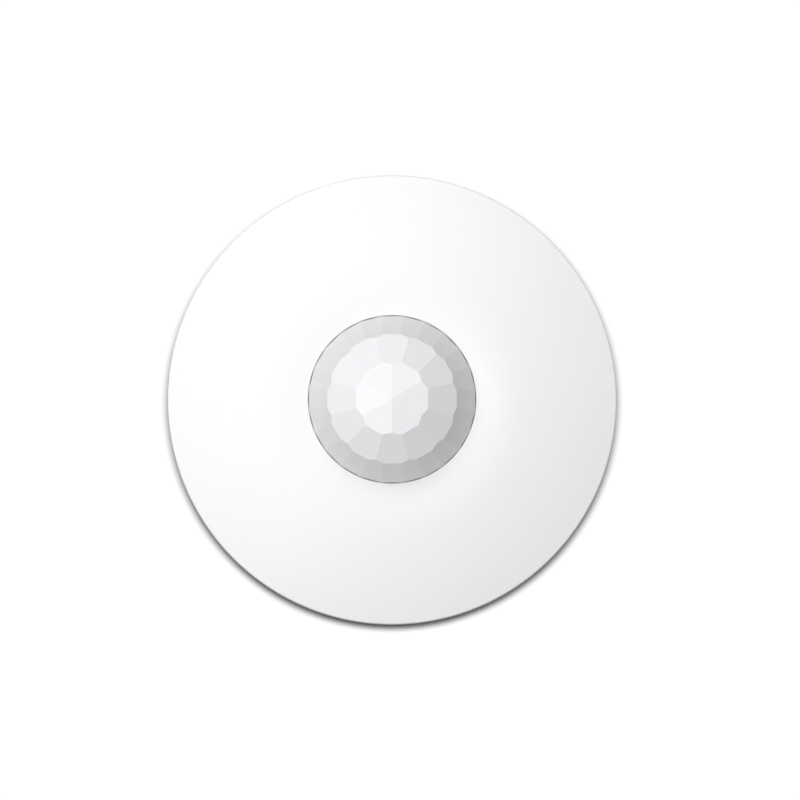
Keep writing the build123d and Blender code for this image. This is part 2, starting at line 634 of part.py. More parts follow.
# ------------------------------------------------------------------ circuit board
def lead_places():
    """Where every round lead crosses the board."""
    places = places_around(SENSOR_LEAD_DISTANCE, SENSOR_LEAD_ANGLES)
    places += row_along_y(LED_PLACE, 2, LED_LEAD_SPACING)
    for row in row_along_y(RELAY_PLACE, RELAY_LEAD_ROWS, RELAY_LEAD_SPACING[1]):
        places += either_side(row, RELAY_LEAD_SPACING[0])
    for row in switch_places():
        places += either_side(row, SWITCH_LEAD_SPACING)
    places += [(TRIMMER_PLACE[0] + x, TRIMMER_PLACE[1] + y) for x, y in TRIMMER_LEADS]
    places += either_side(TAMPER_PLACE, TAMPER_LEAD_SPACING)
    for place, _, _ in CAPACITORS:
        places += either_side(place, CAPACITOR_LEAD_SPACING)
    return places


def component_leads():
    """Tinned leads from each component's underside through the board."""
    return Part() + [disc(LEAD_RADIUS, LEAD_END_Z, BOARD_TOP_Z, x, y) for x, y in lead_places()]


def circuit_board():
    """Round board with holes for screws, leads and terminal pins."""
    low = BOARD_LOW_Z - CUT
    high = BOARD_TOP_Z + CUT
    holes = [disc(LEAD_HOLE_RADIUS, low, high, x, y) for x, y in lead_places()]
    holes += [disc(PIN_HOLE_RADIUS, low, high, x, leg_y()) for x, _ in terminal_places()]
    holes += [disc(BOARD_SCREW_HOLE_RADIUS, low, high, x, y)
              for x, y in places_around(BOARD_SCREW_DISTANCE, THREE_WAYS)]
    return disc(BOARD_RADIUS, BOARD_LOW_Z, BOARD_TOP_Z) - holes


def board_screws():
    """Three pan-head screws through the board into the chassis posts."""
    screws = []
    top = BOARD_TOP_Z + BOARD_HEAD_HEIGHT
    for x, y in places_around(BOARD_SCREW_DISTANCE, THREE_WAYS):
        head = disc(BOARD_HEAD_RADIUS, BOARD_TOP_Z, top, x, y)
        head = fillet(head.edges().group_by(Axis.Z)[-1], BOARD_HEAD_ROUND)
        shank = disc(BOARD_SCREW_RADIUS, BOARD_SCREW_LOW_Z, BOARD_TOP_Z + JOIN, x, y)
        recess = driver_recess(BOARD_HEAD_RADIUS, top - BOARD_RECESS_DEPTH, top + CUT, x, y)
        screws.append(head + shank - recess)
    return Part() + screws


# ------------------------------------------------------------------ infrared sensor and indicator
def sensor_header():
    """The round metal base of the infrared sensor."""
    return disc(SENSOR_FLANGE_RADIUS, BOARD_TOP_Z, SENSOR_HEADER_TOP_Z)


def sensor_can():
    """Metal cap over the infrared element, with a rectangular opening."""
    low = SENSOR_HEADER_TOP_Z
    can = disc(SENSOR_CAN_RADIUS, low, SENSOR_TOP_Z)
    can = fillet(can.edges().group_by(Axis.Z)[-1], SENSOR_ROOF)
    can += disc(SENSOR_FLANGE_RADIUS, low, low + SENSOR_FLANGE_HEIGHT)
    can -= disc(SENSOR_CAN_RADIUS - SENSOR_CAN_WALL, low - CUT, SENSOR_TOP_Z - SENSOR_ROOF)
    return can - block(*SENSOR_OPENING, low, SENSOR_TOP_Z + CUT)


def sensor_window():
    """Dark infrared filter glued under the opening of the can."""
    top = SENSOR_TOP_Z - SENSOR_ROOF
    return block(SENSOR_WINDOW[0], SENSOR_WINDOW[1], top - SENSOR_WINDOW[2], top)


def sensor_element():
    """Carrier on the header, with the two plates that feel the heat."""
    carrier_top = SENSOR_HEADER_TOP_Z + SENSOR_CARRIER[2]
    element = block(SENSOR_CARRIER[0], SENSOR_CARRIER[1], SENSOR_HEADER_TOP_Z, carrier_top)
    for x, y in either_side((0.0, 0.0), 2 * SENSOR_PLATE_OFFSET):
        element += block(SENSOR_PLATE[0], SENSOR_PLATE[1], carrier_top, carrier_top + SENSOR_PLATE[2], x, y)
    return element


def sensor_collar():
    """Soft collar round the sensor that keeps draughts off it."""
    collar = ring(COLLAR_OUTER_RADIUS, COLLAR_INNER_RADIUS, BOARD_TOP_Z, COLLAR_TOP_Z)
    foot_top = BOARD_TOP_Z + COLLAR_FOOT_HEIGHT
    return collar + ring(COLLAR_FOOT_RADIUS, COLLAR_INNER_RADIUS, BOARD_TOP_Z, foot_top)


def indicator_led():
    """Round indicator light that shines through the lens."""
    dome_z = LED_TOP_Z - LED_RADIUS
    body = disc(LED_RADIUS, BOARD_TOP_Z, dome_z, *LED_PLACE)
    body += Pos(*LED_PLACE, dome_z) * Sphere(LED_RADIUS)
    return body + disc(LED_FLANGE_RADIUS, BOARD_TOP_Z, BOARD_TOP_Z + LED_FLANGE_HEIGHT, *LED_PLACE)


# ------------------------------------------------------------------ terminal block
def terminal_block_body():
    """The moulded block before its openings are cut, with a bevel over the wire entries."""
    width = TERMINAL_COUNT * TERMINAL_PITCH + 2 * TERMINAL_END_WALL
    body = block(width, TERMINAL_DEPTH, BOARD_TOP_Z, TERMINAL_TOP_Z, 0, TERMINAL_Y)
    top_edges = body.edges().filter_by(Axis.X).sort_by(Axis.Z)[-2:]
    return chamfer(top_edges.sort_by(Axis.Y)[0], TERMINAL_CHAMFER)


def terminal_housing():
    """Moulded block with a shaft, a wire entry and a driver hole for each terminal."""
    body = terminal_block_body()
    front_y = TERMINAL_Y - TERMINAL_DEPTH / 2
    blade_width = BLADE_WIDTH + 2 * FIT_GAP
    blade_start = TERMINAL_Y + SHAFT[1] / 2 - CUT
    blade_end = leg_y() + LEG_THICKNESS / 2 + FIT_GAP
    for x, y in terminal_places():
        body -= block(*SHAFT, SHAFT_LOW_Z, SHAFT_HIGH_Z, x, y)
        body -= disc(DRIVER_HOLE_RADIUS, SHAFT_HIGH_Z - FIT_GAP, TERMINAL_TOP_Z + CUT, x, y)
        body -= block(WIRE_ENTRY_WIDTH, WIRE_ENTRY_LENGTH, WIRE_ENTRY_LOW_Z, WIRE_ENTRY_HIGH_Z, x, front_y)
        body -= block(blade_width, LEG_THICKNESS + 2 * FIT_GAP, BOARD_TOP_Z - CUT, BLADE_HIGH_Z + FIT_GAP,
                      x, leg_y())
        body -= block(blade_width, blade_end - blade_start, BLADE_LOW_Z - FIT_GAP, BLADE_HIGH_Z + FIT_GAP,
                      x, (blade_start + blade_end) / 2)
    return body


def terminal_screw(x, y):
    """Slotted screw that raises the clamp; its head stays in the housing."""
    screw = disc(TERMINAL_HEAD_RADIUS, TERMINAL_HEAD_LOW_Z, TERMINAL_HEAD_HIGH_Z, x, y)
    screw += disc(TERMINAL_SHANK_RADIUS, TERMINAL_SHANK_LOW_Z, TERMINAL_HEAD_LOW_Z + JOIN, x, y)
    slot_low = TERMINAL_HEAD_HIGH_Z - DRIVER_SLOT_DEPTH
    return screw - block(3 * TERMINAL_HEAD_RADIUS, DRIVER_SLOT_WIDTH, slot_low, TERMINAL_HEAD_HIGH_Z + CUT,
                         x, y)


def terminal_clamp(x, y):
    """Brass cage that rises to grip a wire against the fixed blade."""
    size_x, size_y, height = CLAMP
    top = CLAMP_LOW_Z + height
    cage = block(size_x, size_y, CLAMP_LOW_Z, top, x, y)
    cage -= block(size_x - 2 * CLAMP_SIDE, size_y + CUT, CLAMP_LOW_Z + CLAMP_FLOOR, top - CLAMP_CEILING, x, y)
    return cage - disc(TERMINAL_SHANK_RADIUS + TURNING_GAP, top - CLAMP_CEILING - JOIN, top + CUT, x, y)


def terminal_pins():
    """Fixed blades inside the clamps, each bent down into a pin through the board."""
    pins = []
    y = leg_y()
    blade_y = y + LEG_THICKNESS / 2 - BLADE_REACH / 2
    for x, _ in terminal_places():
        blade = block(BLADE_WIDTH, BLADE_REACH, BLADE_LOW_Z, BLADE_HIGH_Z, x, blade_y)
        leg = block(BLADE_WIDTH, LEG_THICKNESS, BOARD_TOP_Z, BLADE_LOW_Z + JOIN, x, y)
        pin = block(PIN_WIDTH, LEG_THICKNESS, LEAD_END_Z, BOARD_TOP_Z + JOIN, x, y)
        pins.append(blade + leg + pin)
    return Part() + pins


# ------------------------------------------------------------------ relay, switches and trimmer
def alarm_relay():
    """Sealed relay with a broken top edge."""
    body = on_board(RELAY, RELAY_PLACE)
    return chamfer(body.edges().group_by(Axis.Z)[-1], EDGE_BREAK)


def option_switch_housing():
    """Housing of the option switches, with a slot and an inner track for each slider."""
    top = BOARD_TOP_Z + SWITCH_BANK[2]
    track_top = top - SLIDER_ROOF
    body = on_board(SWITCH_BANK, SWITCH_BANK_PLACE)
    for x, y in switch_places():
        body -= block(SLIDER_TRACK[0], SLIDER_TRACK[1], track_top - SLIDER_TRACK[2], track_top, x, y)
        body -= block(*SLIDER_SLOT, track_top - JOIN, top + CUT, x, y)
    return body


def option_slider(place, is_on):
    """One slider, at the ON end or the OFF end of its travel."""
    x = place[0] + (SWITCH_TRAVEL / 2 if is_on else -SWITCH_TRAVEL / 2)
    top = BOARD_TOP_Z + SWITCH_BANK[2]
    foot_top = top - SLIDER_ROOF - FIT_GAP
    foot = block(SLIDER_FOOT[0], SLIDER_FOOT[1], foot_top - SLIDER_FOOT[2], foot_top, x, place[1])
    return foot + block(*SLIDER_KNOB, foot_top - JOIN, top + SLIDER_STANDS_OUT, x, place[1])


def trimmer_housing():
    """Housing of the sensitivity trimmer."""
    top = BOARD_TOP_Z + TRIMMER[2]
    bore = disc(TRIMMER_BORE_RADIUS, top - TRIMMER_BORE_DEPTH, top + CUT, *TRIMMER_PLACE)
    return on_board(TRIMMER, TRIMMER_PLACE) - bore


def trimmer_rotor():
    """Slotted rotor that a screwdriver turns."""
    housing_top = BOARD_TOP_Z + TRIMMER[2]
    top = housing_top + ROTOR_STANDS_OUT
    length, width, depth = ROTOR_SLOT
    rotor = disc(ROTOR_RADIUS, housing_top - TRIMMER_BORE_DEPTH + FIT_GAP, top, *TRIMMER_PLACE)
    return rotor - cross(length, width, top - depth, top + CUT, *TRIMMER_PLACE)


# ------------------------------------------------------------------ tamper switch
def tamper_switch_housing():
    """Housing of the tamper switch, with a bore for the plunger's collar and spring."""
    body = block(TAMPER_WIDTH, TAMPER_WIDTH, BOARD_TOP_Z, TAMPER_TOP_Z, *TAMPER_PLACE)
    body = chamfer(body.edges().group_by(Axis.Z)[-1], EDGE_BREAK)
    body -= disc(TAMPER_BORE_RADIUS, TAMPER_BORE_LOW_Z, TAMPER_BORE_HIGH_Z, *TAMPER_PLACE)
    return body - disc(TAMPER_STEM_RADIUS + TURNING_GAP, TAMPER_BORE_HIGH_Z - JOIN, TAMPER_TOP_Z + CUT,
                       *TAMPER_PLACE)


def tamper_plunger():
    """Plunger that the cover's post holds down, with the collar that its spring lifts."""
    plunger = disc(TAMPER_STEM_RADIUS, TAMPER_COLLAR_LOW_Z, TAMPER_TIP_Z, *TAMPER_PLACE)
    plunger = fillet(plunger.edges().group_by(Axis.Z)[-1], EDGE_BREAK)
    return plunger + disc(TAMPER_COLLAR_RADIUS, TAMPER_COLLAR_LOW_Z, TAMPER_COLLAR_HIGH_Z, *TAMPER_PLACE)


def tamper_spring():
    """Coil spring under the plunger's collar, drawn compressed."""
    low = TAMPER_BORE_LOW_Z + SPRING_WIRE_RADIUS + SPRING_GAP
    height = TAMPER_COLLAR_LOW_Z - SPRING_WIRE_RADIUS - SPRING_GAP - low
    path = Helix(height / SPRING_COILS, height, SPRING_RADIUS)
    wire = Plane(origin=path @ 0, z_dir=path % 0) * Circle(SPRING_WIRE_RADIUS)
    return Pos(*TAMPER_PLACE, low) * sweep(wire, path=path, is_frenet=True)


# ------------------------------------------------------------------ small board parts
def electrolytic_capacitors():
    """Upright capacitors with the rolled groove near the foot."""
    cans = []
    for place, radius, height in CAPACITORS:
        can = disc(radius, BOARD_TOP_Z, BOARD_TOP_Z + height, *place)
        can = fillet(can.edges().group_by(Axis.Z)[-1], EDGE_BREAK)
        groove = Torus(radius + CAPACITOR_GROOVE_OFFSET, CAPACITOR_GROOVE_RADIUS)
        cans.append(can - Pos(*place, BOARD_TOP_Z + CAPACITOR_GROOVE_HEIGHT) * groove)
    return Part() + cans


def chip(place, size):
    """A moulded chip package just off the board, with its top edge bevelled."""
    low = BOARD_TOP_Z + CHIP_STANDOFF
    body = block(size[0], size[1], low, low + size[2], *place)
    return chamfer(body.edges().group_by(Axis.Z)[-1], CHIP_CHAMFER)


def control_chips():
    """Microcontroller, signal amplifier and voltage regulator packages."""
    return Part() + [chip(place, size) for place, size in (CONTROLLER, AMPLIFIER, REGULATOR)]


def chip_legs():
    """Flat soldered legs along the sides of the controller and of the amplifier."""
    length, width, thickness = CHIP_LEG
    top = BOARD_TOP_Z + thickness
    legs = []
    place, size = CONTROLLER
    for row in row_along_y(place, CONTROLLER_LEGS, CHIP_LEG_PITCH):
        legs += [block(length, width, BOARD_TOP_Z, top, x, y) for x, y in either_side(row, size[0] + length)]
    (place_x, place_y), size = AMPLIFIER
    for side in (-1, 1):
        row_place = (place_x, place_y + side * (size[1] + length) / 2)
        legs += [block(width, length, BOARD_TOP_Z, top, x, y)
                 for x, y in row_along_x(row_place, AMPLIFIER_LEGS, CHIP_LEG_PITCH)]
    return Part() + legs


def chip_resistors():
    return Part() + [on_board(RESISTOR, place) for place in RESISTOR_PLACES]


def chip_capacitors():
    return Part() + [on_board(CHIP_CAPACITOR, place) for place in CHIP_CAPACITOR_PLACES]


def supply_diodes():
    return Part() + [on_board(DIODE, place) for place in DIODE_PLACES]


# ------------------------------------------------------------------ every node, by name
SINGLE_NODES = (
    ceiling_base, chassis, cable_grommet, circuit_board, board_screws, component_leads,
    sensor_header, sensor_can, sensor_window, sensor_element, sensor_collar, indicator_led,
    terminal_housing, terminal_pins, alarm_relay, option_switch_housing, trimmer_housing, trimmer_rotor,
    tamper_switch_housing, tamper_plunger, tamper_spring, electrolytic_capacitors, control_chips, chip_legs,
    chip_resistors, chip_capacitors, supply_diodes, front_cover, fresnel_lens, lens_retainer, retainer_screws,
)


def all_nodes():
    """Every node's name and its shape."""
    nodes = {make.__name__: make() for make in SINGLE_NODES}
    for number, (x, y) in enumerate(terminal_places(), start=1):
        nodes[f"terminal_screw_{number}"] = terminal_screw(x, y)
        nodes[f"terminal_clamp_{number}"] = terminal_clamp(x, y)
    for number, (place, is_on) in enumerate(zip(switch_places(), SWITCH_IS_ON), start=1):
        nodes[f"option_slider_{number}"] = option_slider(place, is_on)
    return nodes


os.makedirs("parts", exist_ok=True)
for name, shape in all_nodes().items():
    export_step(shape, f"parts/{name}.step")
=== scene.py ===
"""Looks of the ceiling motion sensor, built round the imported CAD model. Lengths are in metres.

The ceiling is the plane Z = 0, drawn here as the floor, and the lens looks along +Z towards the camera.
"""
import json
import math

import bmesh
import bpy
from mathutils import Matrix, Vector


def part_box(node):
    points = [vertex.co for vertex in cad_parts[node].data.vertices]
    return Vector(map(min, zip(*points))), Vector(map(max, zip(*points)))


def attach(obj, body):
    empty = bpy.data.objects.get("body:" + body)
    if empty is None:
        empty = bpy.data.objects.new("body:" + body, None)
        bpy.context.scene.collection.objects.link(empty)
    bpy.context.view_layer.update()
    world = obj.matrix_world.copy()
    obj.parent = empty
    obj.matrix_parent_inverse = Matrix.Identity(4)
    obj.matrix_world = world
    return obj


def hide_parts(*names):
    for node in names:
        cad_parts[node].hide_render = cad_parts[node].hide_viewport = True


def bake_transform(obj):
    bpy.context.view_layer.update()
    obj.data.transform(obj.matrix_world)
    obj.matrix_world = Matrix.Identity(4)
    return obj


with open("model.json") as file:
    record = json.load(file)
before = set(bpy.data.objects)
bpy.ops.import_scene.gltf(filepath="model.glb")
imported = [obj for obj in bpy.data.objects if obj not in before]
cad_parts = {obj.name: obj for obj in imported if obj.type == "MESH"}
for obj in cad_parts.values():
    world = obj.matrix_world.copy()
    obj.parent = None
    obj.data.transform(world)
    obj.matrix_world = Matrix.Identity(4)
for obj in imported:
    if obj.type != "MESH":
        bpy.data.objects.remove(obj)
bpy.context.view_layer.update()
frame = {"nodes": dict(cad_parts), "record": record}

MM = 0.001
TURN = 2 * math.pi
OVERSHOOT = 1.0 * MM  # how far a cutting tool reaches past the surface that it cuts

# ------------------------------------------------------------------ sizes of the cover
COVER_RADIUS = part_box("front_cover")[1].x
COVER_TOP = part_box("front_cover")[1].z
COVER_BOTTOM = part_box("front_cover")[0].z
COVER_WALL = 2.0 * MM
COVER_SEGMENTS = 360
SKIRT_DRAFT = 0.1 * MM
SKIRT_FOOT_ROUND = 0.2 * MM
RIM_ROUND = 0.4 * MM
LIP_ROUND = 0.25 * MM
# The roof is an arc of CROWN_ARC about the ring of radius CROWN_RING, then a flatter arc from SLOPE_START.
CROWN_RING = 25.5 * MM
CROWN_ARC = 33.0 * MM
SLOPE_START = 32.0 * MM
SLOPE_ARC = 150.0 * MM
APERTURE = 20.55 * MM
SEAT_RADIUS = 24.6 * MM
FLANGE_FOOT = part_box("lens_retainer")[1].z
SEAT_Z = FLANGE_FOOT + 1.0 * MM

SKIRT_ROOT = 53.4 * MM  # radius inside the skirt's wall, where keys and beads are rooted
KEY_INNER = 50.6 * MM
KEY_WIDTH = 3.0 * MM
KEY_BOTTOM = 3.6 * MM
KEY_TOP = 12.4 * MM
KEY_ANGLES = (30, 150, 270)
BEAD_INNER = 52.45 * MM
BEAD_HEIGHT = 1.0 * MM
BEAD_SPAN = 10  # degrees
BEAD_ANGLES = (90, 210, 330)
BOSS_RADIUS = 2.6 * MM
BOSS_BORE = 1.0 * MM
BOSS_BORE_TOP = 18.0 * MM
POST_RADIUS = 2.1 * MM
POST_GAP = 0.05 * MM  # between the post and the tamper plunger
NOTCH_ANGLE = 105
NOTCH_DEPTH = 0.9 * MM
NOTCH_WIDTH = 8.0 * MM
NOTCH_HEIGHT = 1.1 * MM
LENS_KEY_ANGLE = 150
LENS_KEY_INNER = 22.8 * MM
LENS_KEY_OUTER = 25.0 * MM
LENS_KEY_WIDTH = 2.1 * MM
LENS_KEY_LIFT = 0.1 * MM  # from the flange's foot to the key's foot
LENS_KEY_ROOT = 0.4 * MM  # how far the key goes into the cover

# ------------------------------------------------------------------ sizes of the lens
LENS_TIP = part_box("fresnel_lens")[1].z
LENS_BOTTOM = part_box("fresnel_lens")[0].z
LENS_FLANGE_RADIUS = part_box("fresnel_lens")[1].y
LENS_RINGS = ((6, 12.0, 8.8 * MM), (12, 36.0, 15.8 * MM), (24, 60.0, 20.3 * MM))  # facets, tilt, outer radius
LENS_BARREL = LENS_RINGS[-1][2]
LENS_BARREL_MARGIN = 0.05 * MM  # how far the barrel's sides stand outside the last ring
LENS_WALL = 0.7 * MM
LENS_NOTCH_DEPTH = 1.35 * MM
LENS_NOTCH_WIDTH = 2.4 * MM
FACET_ROUND = 0.07 * MM
FACET_EDGE_ANGLE = 4  # degrees; edges between facets that turn less than this stay as they are

# ------------------------------------------------------------------ sizes on the board
BOARD_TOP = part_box("circuit_board")[1].z
EDGE_ROUND = 0.08 * MM
HOUSINGS = ("alarm_relay", "terminal_housing", "option_switch_housing", "trimmer_housing",
            "tamper_switch_housing")
ROUNDED_NODES = HOUSINGS + ("control_chips", "chip_resistors", "chip_capacitors", "supply_diodes")

INK_HEIGHT = 0.02 * MM
INK_WIDTH = 0.2 * MM
HOUSING_FRAME_GAP = 0.5 * MM
CHIP_FRAME_GAP = 0.7 * MM
RING_GAP = 0.4 * MM
DOT_RADIUS = 0.3 * MM
DOT_INSET = 0.9 * MM
BAND_WIDTH = 0.5 * MM
BAND_INSET = 0.9 * MM
BAND_END_GAP = 0.05 * MM

TRACE_HEIGHT = 0.035 * MM
TRACE_WIDTH = 0.4 * MM
VIA_HEIGHT = 1.3 * TRACE_HEIGHT
TRACK_CLEARANCE = 2 * TRACE_WIDTH  # between the middles of two tracks
LEG_PITCH = 1.2 * MM
CHIP_REACH = 2.9 * MM  # from a chip's middle to the tips of its legs
TERMINAL_TRACK_END = -21.5 * MM
TERMINAL_TRACK_SPREAD = 1.25
AMPLIFIER_TRACK_ENDS = (7.3 * MM, 20.0 * MM)
AMPLIFIER_TRACK_SPREADS = (1.6, 3.0)
REGULATOR_TRACK_END = -15.5 * MM
LONG_STUB = (3.2 * MM, 2.4 * MM)
SHORT_STUB = (2.6 * MM, 1.8 * MM)

END_METAL = 0.03 * MM  # thickness of a chip part's metal ends
END_SHARE = 0.2  # of the part's length, for each metal end
FILLET_RISE = 0.75  # of the part's height
FILLET_REACH = 0.55  # of the part's height, with FILLET_FOOT on top
FILLET_FOOT = 0.15 * MM
FILLET_WIDTH = 0.96  # of the part's width
FILLET_STEPS = 6

# Side views of bent metal legs in mm: distance from the chip, and height over the board.
WING_LEG = ((-0.15, 0.7), (0.25, 0.7), (0.55, 0.2), (0.9, 0.2), (0.9, 0.36), (0.66, 0.36), (0.36, 0.88),
            (-0.15, 0.88))
WING_LEG_SETBACK = 0.5 * MM  # from the middle of the leg's foot to the chip
WING_LEG_WIDTH = 0.4 * MM
REGULATOR_LEG = ((-0.1, 0.7), (0.25, 0.7), (0.5, 0.0), (1.0, 0.0), (1.0, 0.16), (0.62, 0.16), (0.36, 0.88),
                 (-0.1, 0.88))
REGULATOR_LEG_WIDTH = 0.45 * MM
REGULATOR_LEG_PITCH = 1.5 * MM
REGULATOR_TAB_WIDTH = 1.7 * MM

CAN_EDGE = 0.55 * MM  # width of the sleeve round a capacitor's bare end
CAN_END_HEIGHT = 0.06 * MM
SCORE_START = 0.12 * MM
SCORED_SPAN = 84  # degrees of each quarter, between two scores
STRIPE_ANGLE = 200
STRIPE_SPAN = 40  # degrees
STRIPE_ROOT = 0.05 * MM
STRIPE_HEIGHT = 0.02 * MM
STRIPE_FOOT_GAP = 2.2 * MM
STRIPE_HEAD_GAP = 0.5 * MM

SPRING_TURNS = 3
SPRING_WIRE = 0.14 * MM
SPRING_STEPS_PER_TURN = 40
SPRING_SIDES = 10

# ------------------------------------------------------------------ colours
COVER_COLOUR = (0.87, 0.87, 0.865)
LENS_COLOUR = (0.83, 0.84, 0.856)
LENS_COLOUR_SLANT_SHADED = (0.735, 0.745, 0.76)  # painted shade: the lens colour where the plastic is seen at a slant
LENS_SLANTS = (0.2, 0.5)  # from here to here the lens colour changes into the painted shade
BOARD_COLOURS = ((0.010, 0.095, 0.035), (0.016, 0.125, 0.045))
FILTER_COLOURS = ((0.012, 0.010, 0.016), (0.022, 0.018, 0.03))
LED_COLOURS = ((0.55, 0.01, 0.01), (0.75, 0.02, 0.015))
RUBBER_COLOURS = ((0.012, 0.012, 0.012), (0.03, 0.03, 0.03))
FLOOR_COLOURS = ((0.3, 0.3, 0.3), (0.34, 0.34, 0.34))

# The colour and roughness of each plain moulding, and of each metal.
MOULDINGS = {
    "chassis_plastic": ((0.78, 0.78, 0.76), 0.5),
    "guard_plastic": ((0.80, 0.80, 0.78), 0.5),
    "ceramic_chip": ((0.62, 0.60, 0.55), 0.55),
    "terminal_plastic": ((0.03, 0.26, 0.10), 0.45),
    "relay_plastic": ((0.80, 0.77, 0.68), 0.42),
    "switch_plastic": ((0.55, 0.025, 0.02), 0.4),
    "slider_plastic": ((0.86, 0.86, 0.84), 0.4),
    "trimmer_plastic": ((0.02, 0.10, 0.42), 0.38),
    "rotor_plastic": ((0.85, 0.84, 0.80), 0.42),
    "black_plastic": ((0.022, 0.022, 0.024), 0.45),
    "can_sleeve": ((0.018, 0.02, 0.03), 0.25),
    "chip_epoxy": ((0.020, 0.020, 0.021), 0.5),
    "capacitor_ceramic": ((0.50, 0.36, 0.22), 0.5),
    "trace_mask": ((0.035, 0.24, 0.085), 0.3),
    "white_ink": ((0.82, 0.83, 0.80), 0.6),
}
METALS = {
    "zinc_steel": ((0.74, 0.75, 0.78), 0.26),
    "tinned_metal": ((0.80, 0.80, 0.80), 0.24),
    "spring_steel": ((0.62, 0.62, 0.63), 0.22),
    "sensor_metal": ((0.78, 0.78, 0.77), 0.2),
    "clamp_brass": ((0.80, 0.62, 0.28), 0.28),
    "aluminium": ((0.85, 0.85, 0.86), 0.3),
}
NOISE_RANGE = (0.3, 0.7)  # nearly all values of a noise lie between these

# ------------------------------------------------------------------ floor, light and camera
FLOOR_SIZE = 1.5
CONTACT_REACH = 2.6 * MM
CONTACT_LEAN = (0.0, 0.74, 0.67)  # the painted shadow falls to the other side
# How bright the floor's painted contact shadow is for each share of open sky, from the crease outwards.
CONTACT_SHADOW_TONES = ((0.56, 0.05), (0.61, 0.14), (0.67, 0.35), (0.77, 0.63), (0.87, 0.87), (0.96, 1.02))
SIDE_LIGHT = 0.16
OVERHEAD_LIGHT = 0.61
LIGHT_SIZE = 0.5
LIGHT_DISTANCE = 1.2
# Each light: its name, azimuth, elevation and power.
LIGHTS = (("left", 180, 60, 2.75), ("lower_left", 225, 60, 2.7), ("top", 90, 60, 1.8),
          ("low_top", 90, 40, 2.4), ("upper_left", 135, 40, 1.9))
VIEW_WIDTH = 196.3 * MM
VIEW_SHIFT = Vector((1.925 * MM, 0.15 * MM, 0))
VIEW_TILT = math.radians(0.9)
CAMERA_DISTANCE = 5.0
SENSOR_SIZE = 36.0


# ------------------------------------------------------------------ outlines and sections
def arc(centre, radius, start, end, steps):
    """Points along an arc in the (radius, height) plane; angles run from straight up towards +radius."""
    angles = [start + (end - start) * i / steps for i in range(steps + 1)]
    return [(centre[0] + radius * math.sin(a), centre[1] + radius * math.cos(a)) for a in angles]


def rounded(corner, before, after, radius, steps=5):
    """Points of a fillet at a corner that lies between two other points."""
    corner = Vector(corner)
    to_before = (Vector(before) - corner).normalized()
    to_after = (Vector(after) - corner).normalized()
    half = to_before.angle(to_after) / 2
    middle = corner + (to_before + to_after).normalized() * radius / math.sin(half)
    first = corner + to_before * radius / math.tan(half) - middle
    last = corner + to_after * radius / math.tan(half) - middle
    sweep = math.atan2(first.x * last.y - first.y * last.x, first.dot(last))
    return [tuple(middle + Matrix.Rotation(sweep * i / steps, 2) @ first) for i in range(steps + 1)]


def circle(radius, x=0.0, y=0.0, count=48):
    """Outline of a circle."""
    angles = [TURN * i / count for i in range(count)]
    return [(x + radius * math.cos(a), y + radius * math.sin(a)) for a in angles]


def bar(inner, outer, width, angle):
    """Outline of a straight bar that points away from the Z axis; the angle is in degrees."""
    turn = Matrix.Rotation(math.radians(angle), 2)
    corners = ((inner, -width / 2), (outer, -width / 2), (outer, width / 2), (inner, width / 2))
    return [tuple(turn @ Vector(corner)) for corner in corners]


def sector(inner, outer, middle, span, x=0.0, y=0.0):
    """Outline of a curved bar round a point; angles are in degrees."""
    steps = 12
    angles = [math.radians(middle - span / 2 + span * i / steps) for i in range(steps + 1)]
    outside = [(x + outer * math.cos(a), y + outer * math.sin(a)) for a in angles]
    inside = [(x + inner * math.cos(a), y + inner * math.sin(a)) for a in reversed(angles)]
    return outside + inside


def ribbon(points, width):
    """Outline of a strip of even width that follows two or three points, mitred at the bend."""
    ways = [(b - a).normalized() for a, b in zip(points, points[1:])]
    asides = [ways[0].orthogonal(), ways[-1].orthogonal()]
    if len(points) == 3:
        middle = (asides[0] + asides[1]).normalized()
        asides.insert(1, middle / middle.dot(asides[0]))
    left = [tuple(point + aside * width / 2) for point, aside in zip(points, asides)]
    right = [tuple(point - aside * width / 2) for point, aside in zip(points, asides)]
    return left + right[::-1]


# ------------------------------------------------------------------ meshes
def add_mesh(name, bm):
    """Turns a bmesh into a new object in the scene."""
    bmesh.ops.recalc_face_normals(bm, faces=bm.faces)
    mesh = bpy.data.meshes.new(name)
    bm.to_mesh(mesh)
    bm.free()
    obj = bpy.data.objects.new(name, mesh)
    bpy.context.scene.collection.objects.link(obj)
    return obj


def join_rings(bm, rings):
    """Faces between neighbouring rings of vertices, and between the last ring and the first."""
    for i, here in enumerate(rings):
        there = rings[(i + 1) % len(rings)]
        for j in range(len(here)):
            bm.faces.new((here[j - 1], there[j - 1], there[j], here[j]))


def lathe_into(bm, section, segments, centre=(0, 0)):
    """A closed section of (radius, height) points turned round an upright axis."""
    rings = []
    for i in range(segments):
        turn = Matrix.Rotation(TURN * i / segments, 3, "Z")
        rings.append([bm.verts.new(turn @ Vector((r, 0, z)) + Vector((*centre, 0))) for r, z in section])
    join_rings(bm, rings)


def prism_into(bm, outline, low, high):
    """An upright prism on an outline of (x, y) points."""
    bottom = [bm.verts.new((x, y, low)) for x, y in outline]
    top = [bm.verts.new((x, y, high)) for x, y in outline]
    bm.faces.new(bottom[::-1])
    bm.faces.new(top)
    for i in range(len(outline)):
        bm.faces.new((bottom[i - 1], bottom[i], top[i], top[i - 1]))


def extrude_into(bm, profile, start, out, across, width):
    """A profile of (outward, height) points at a start point, drawn to a width to both sides."""
    sides = []
    for side in (-0.5, 0.5):
        shift = start + across * width * side
        sides.append([bm.verts.new(shift + out * r + Vector((0, 0, z))) for r, z in profile])
    first, last = sides
    bm.faces.new(first[::-1])
    bm.faces.new(last)
    for i in range(len(profile)):
        bm.faces.new((first[i - 1], first[i], last[i], last[i - 1]))


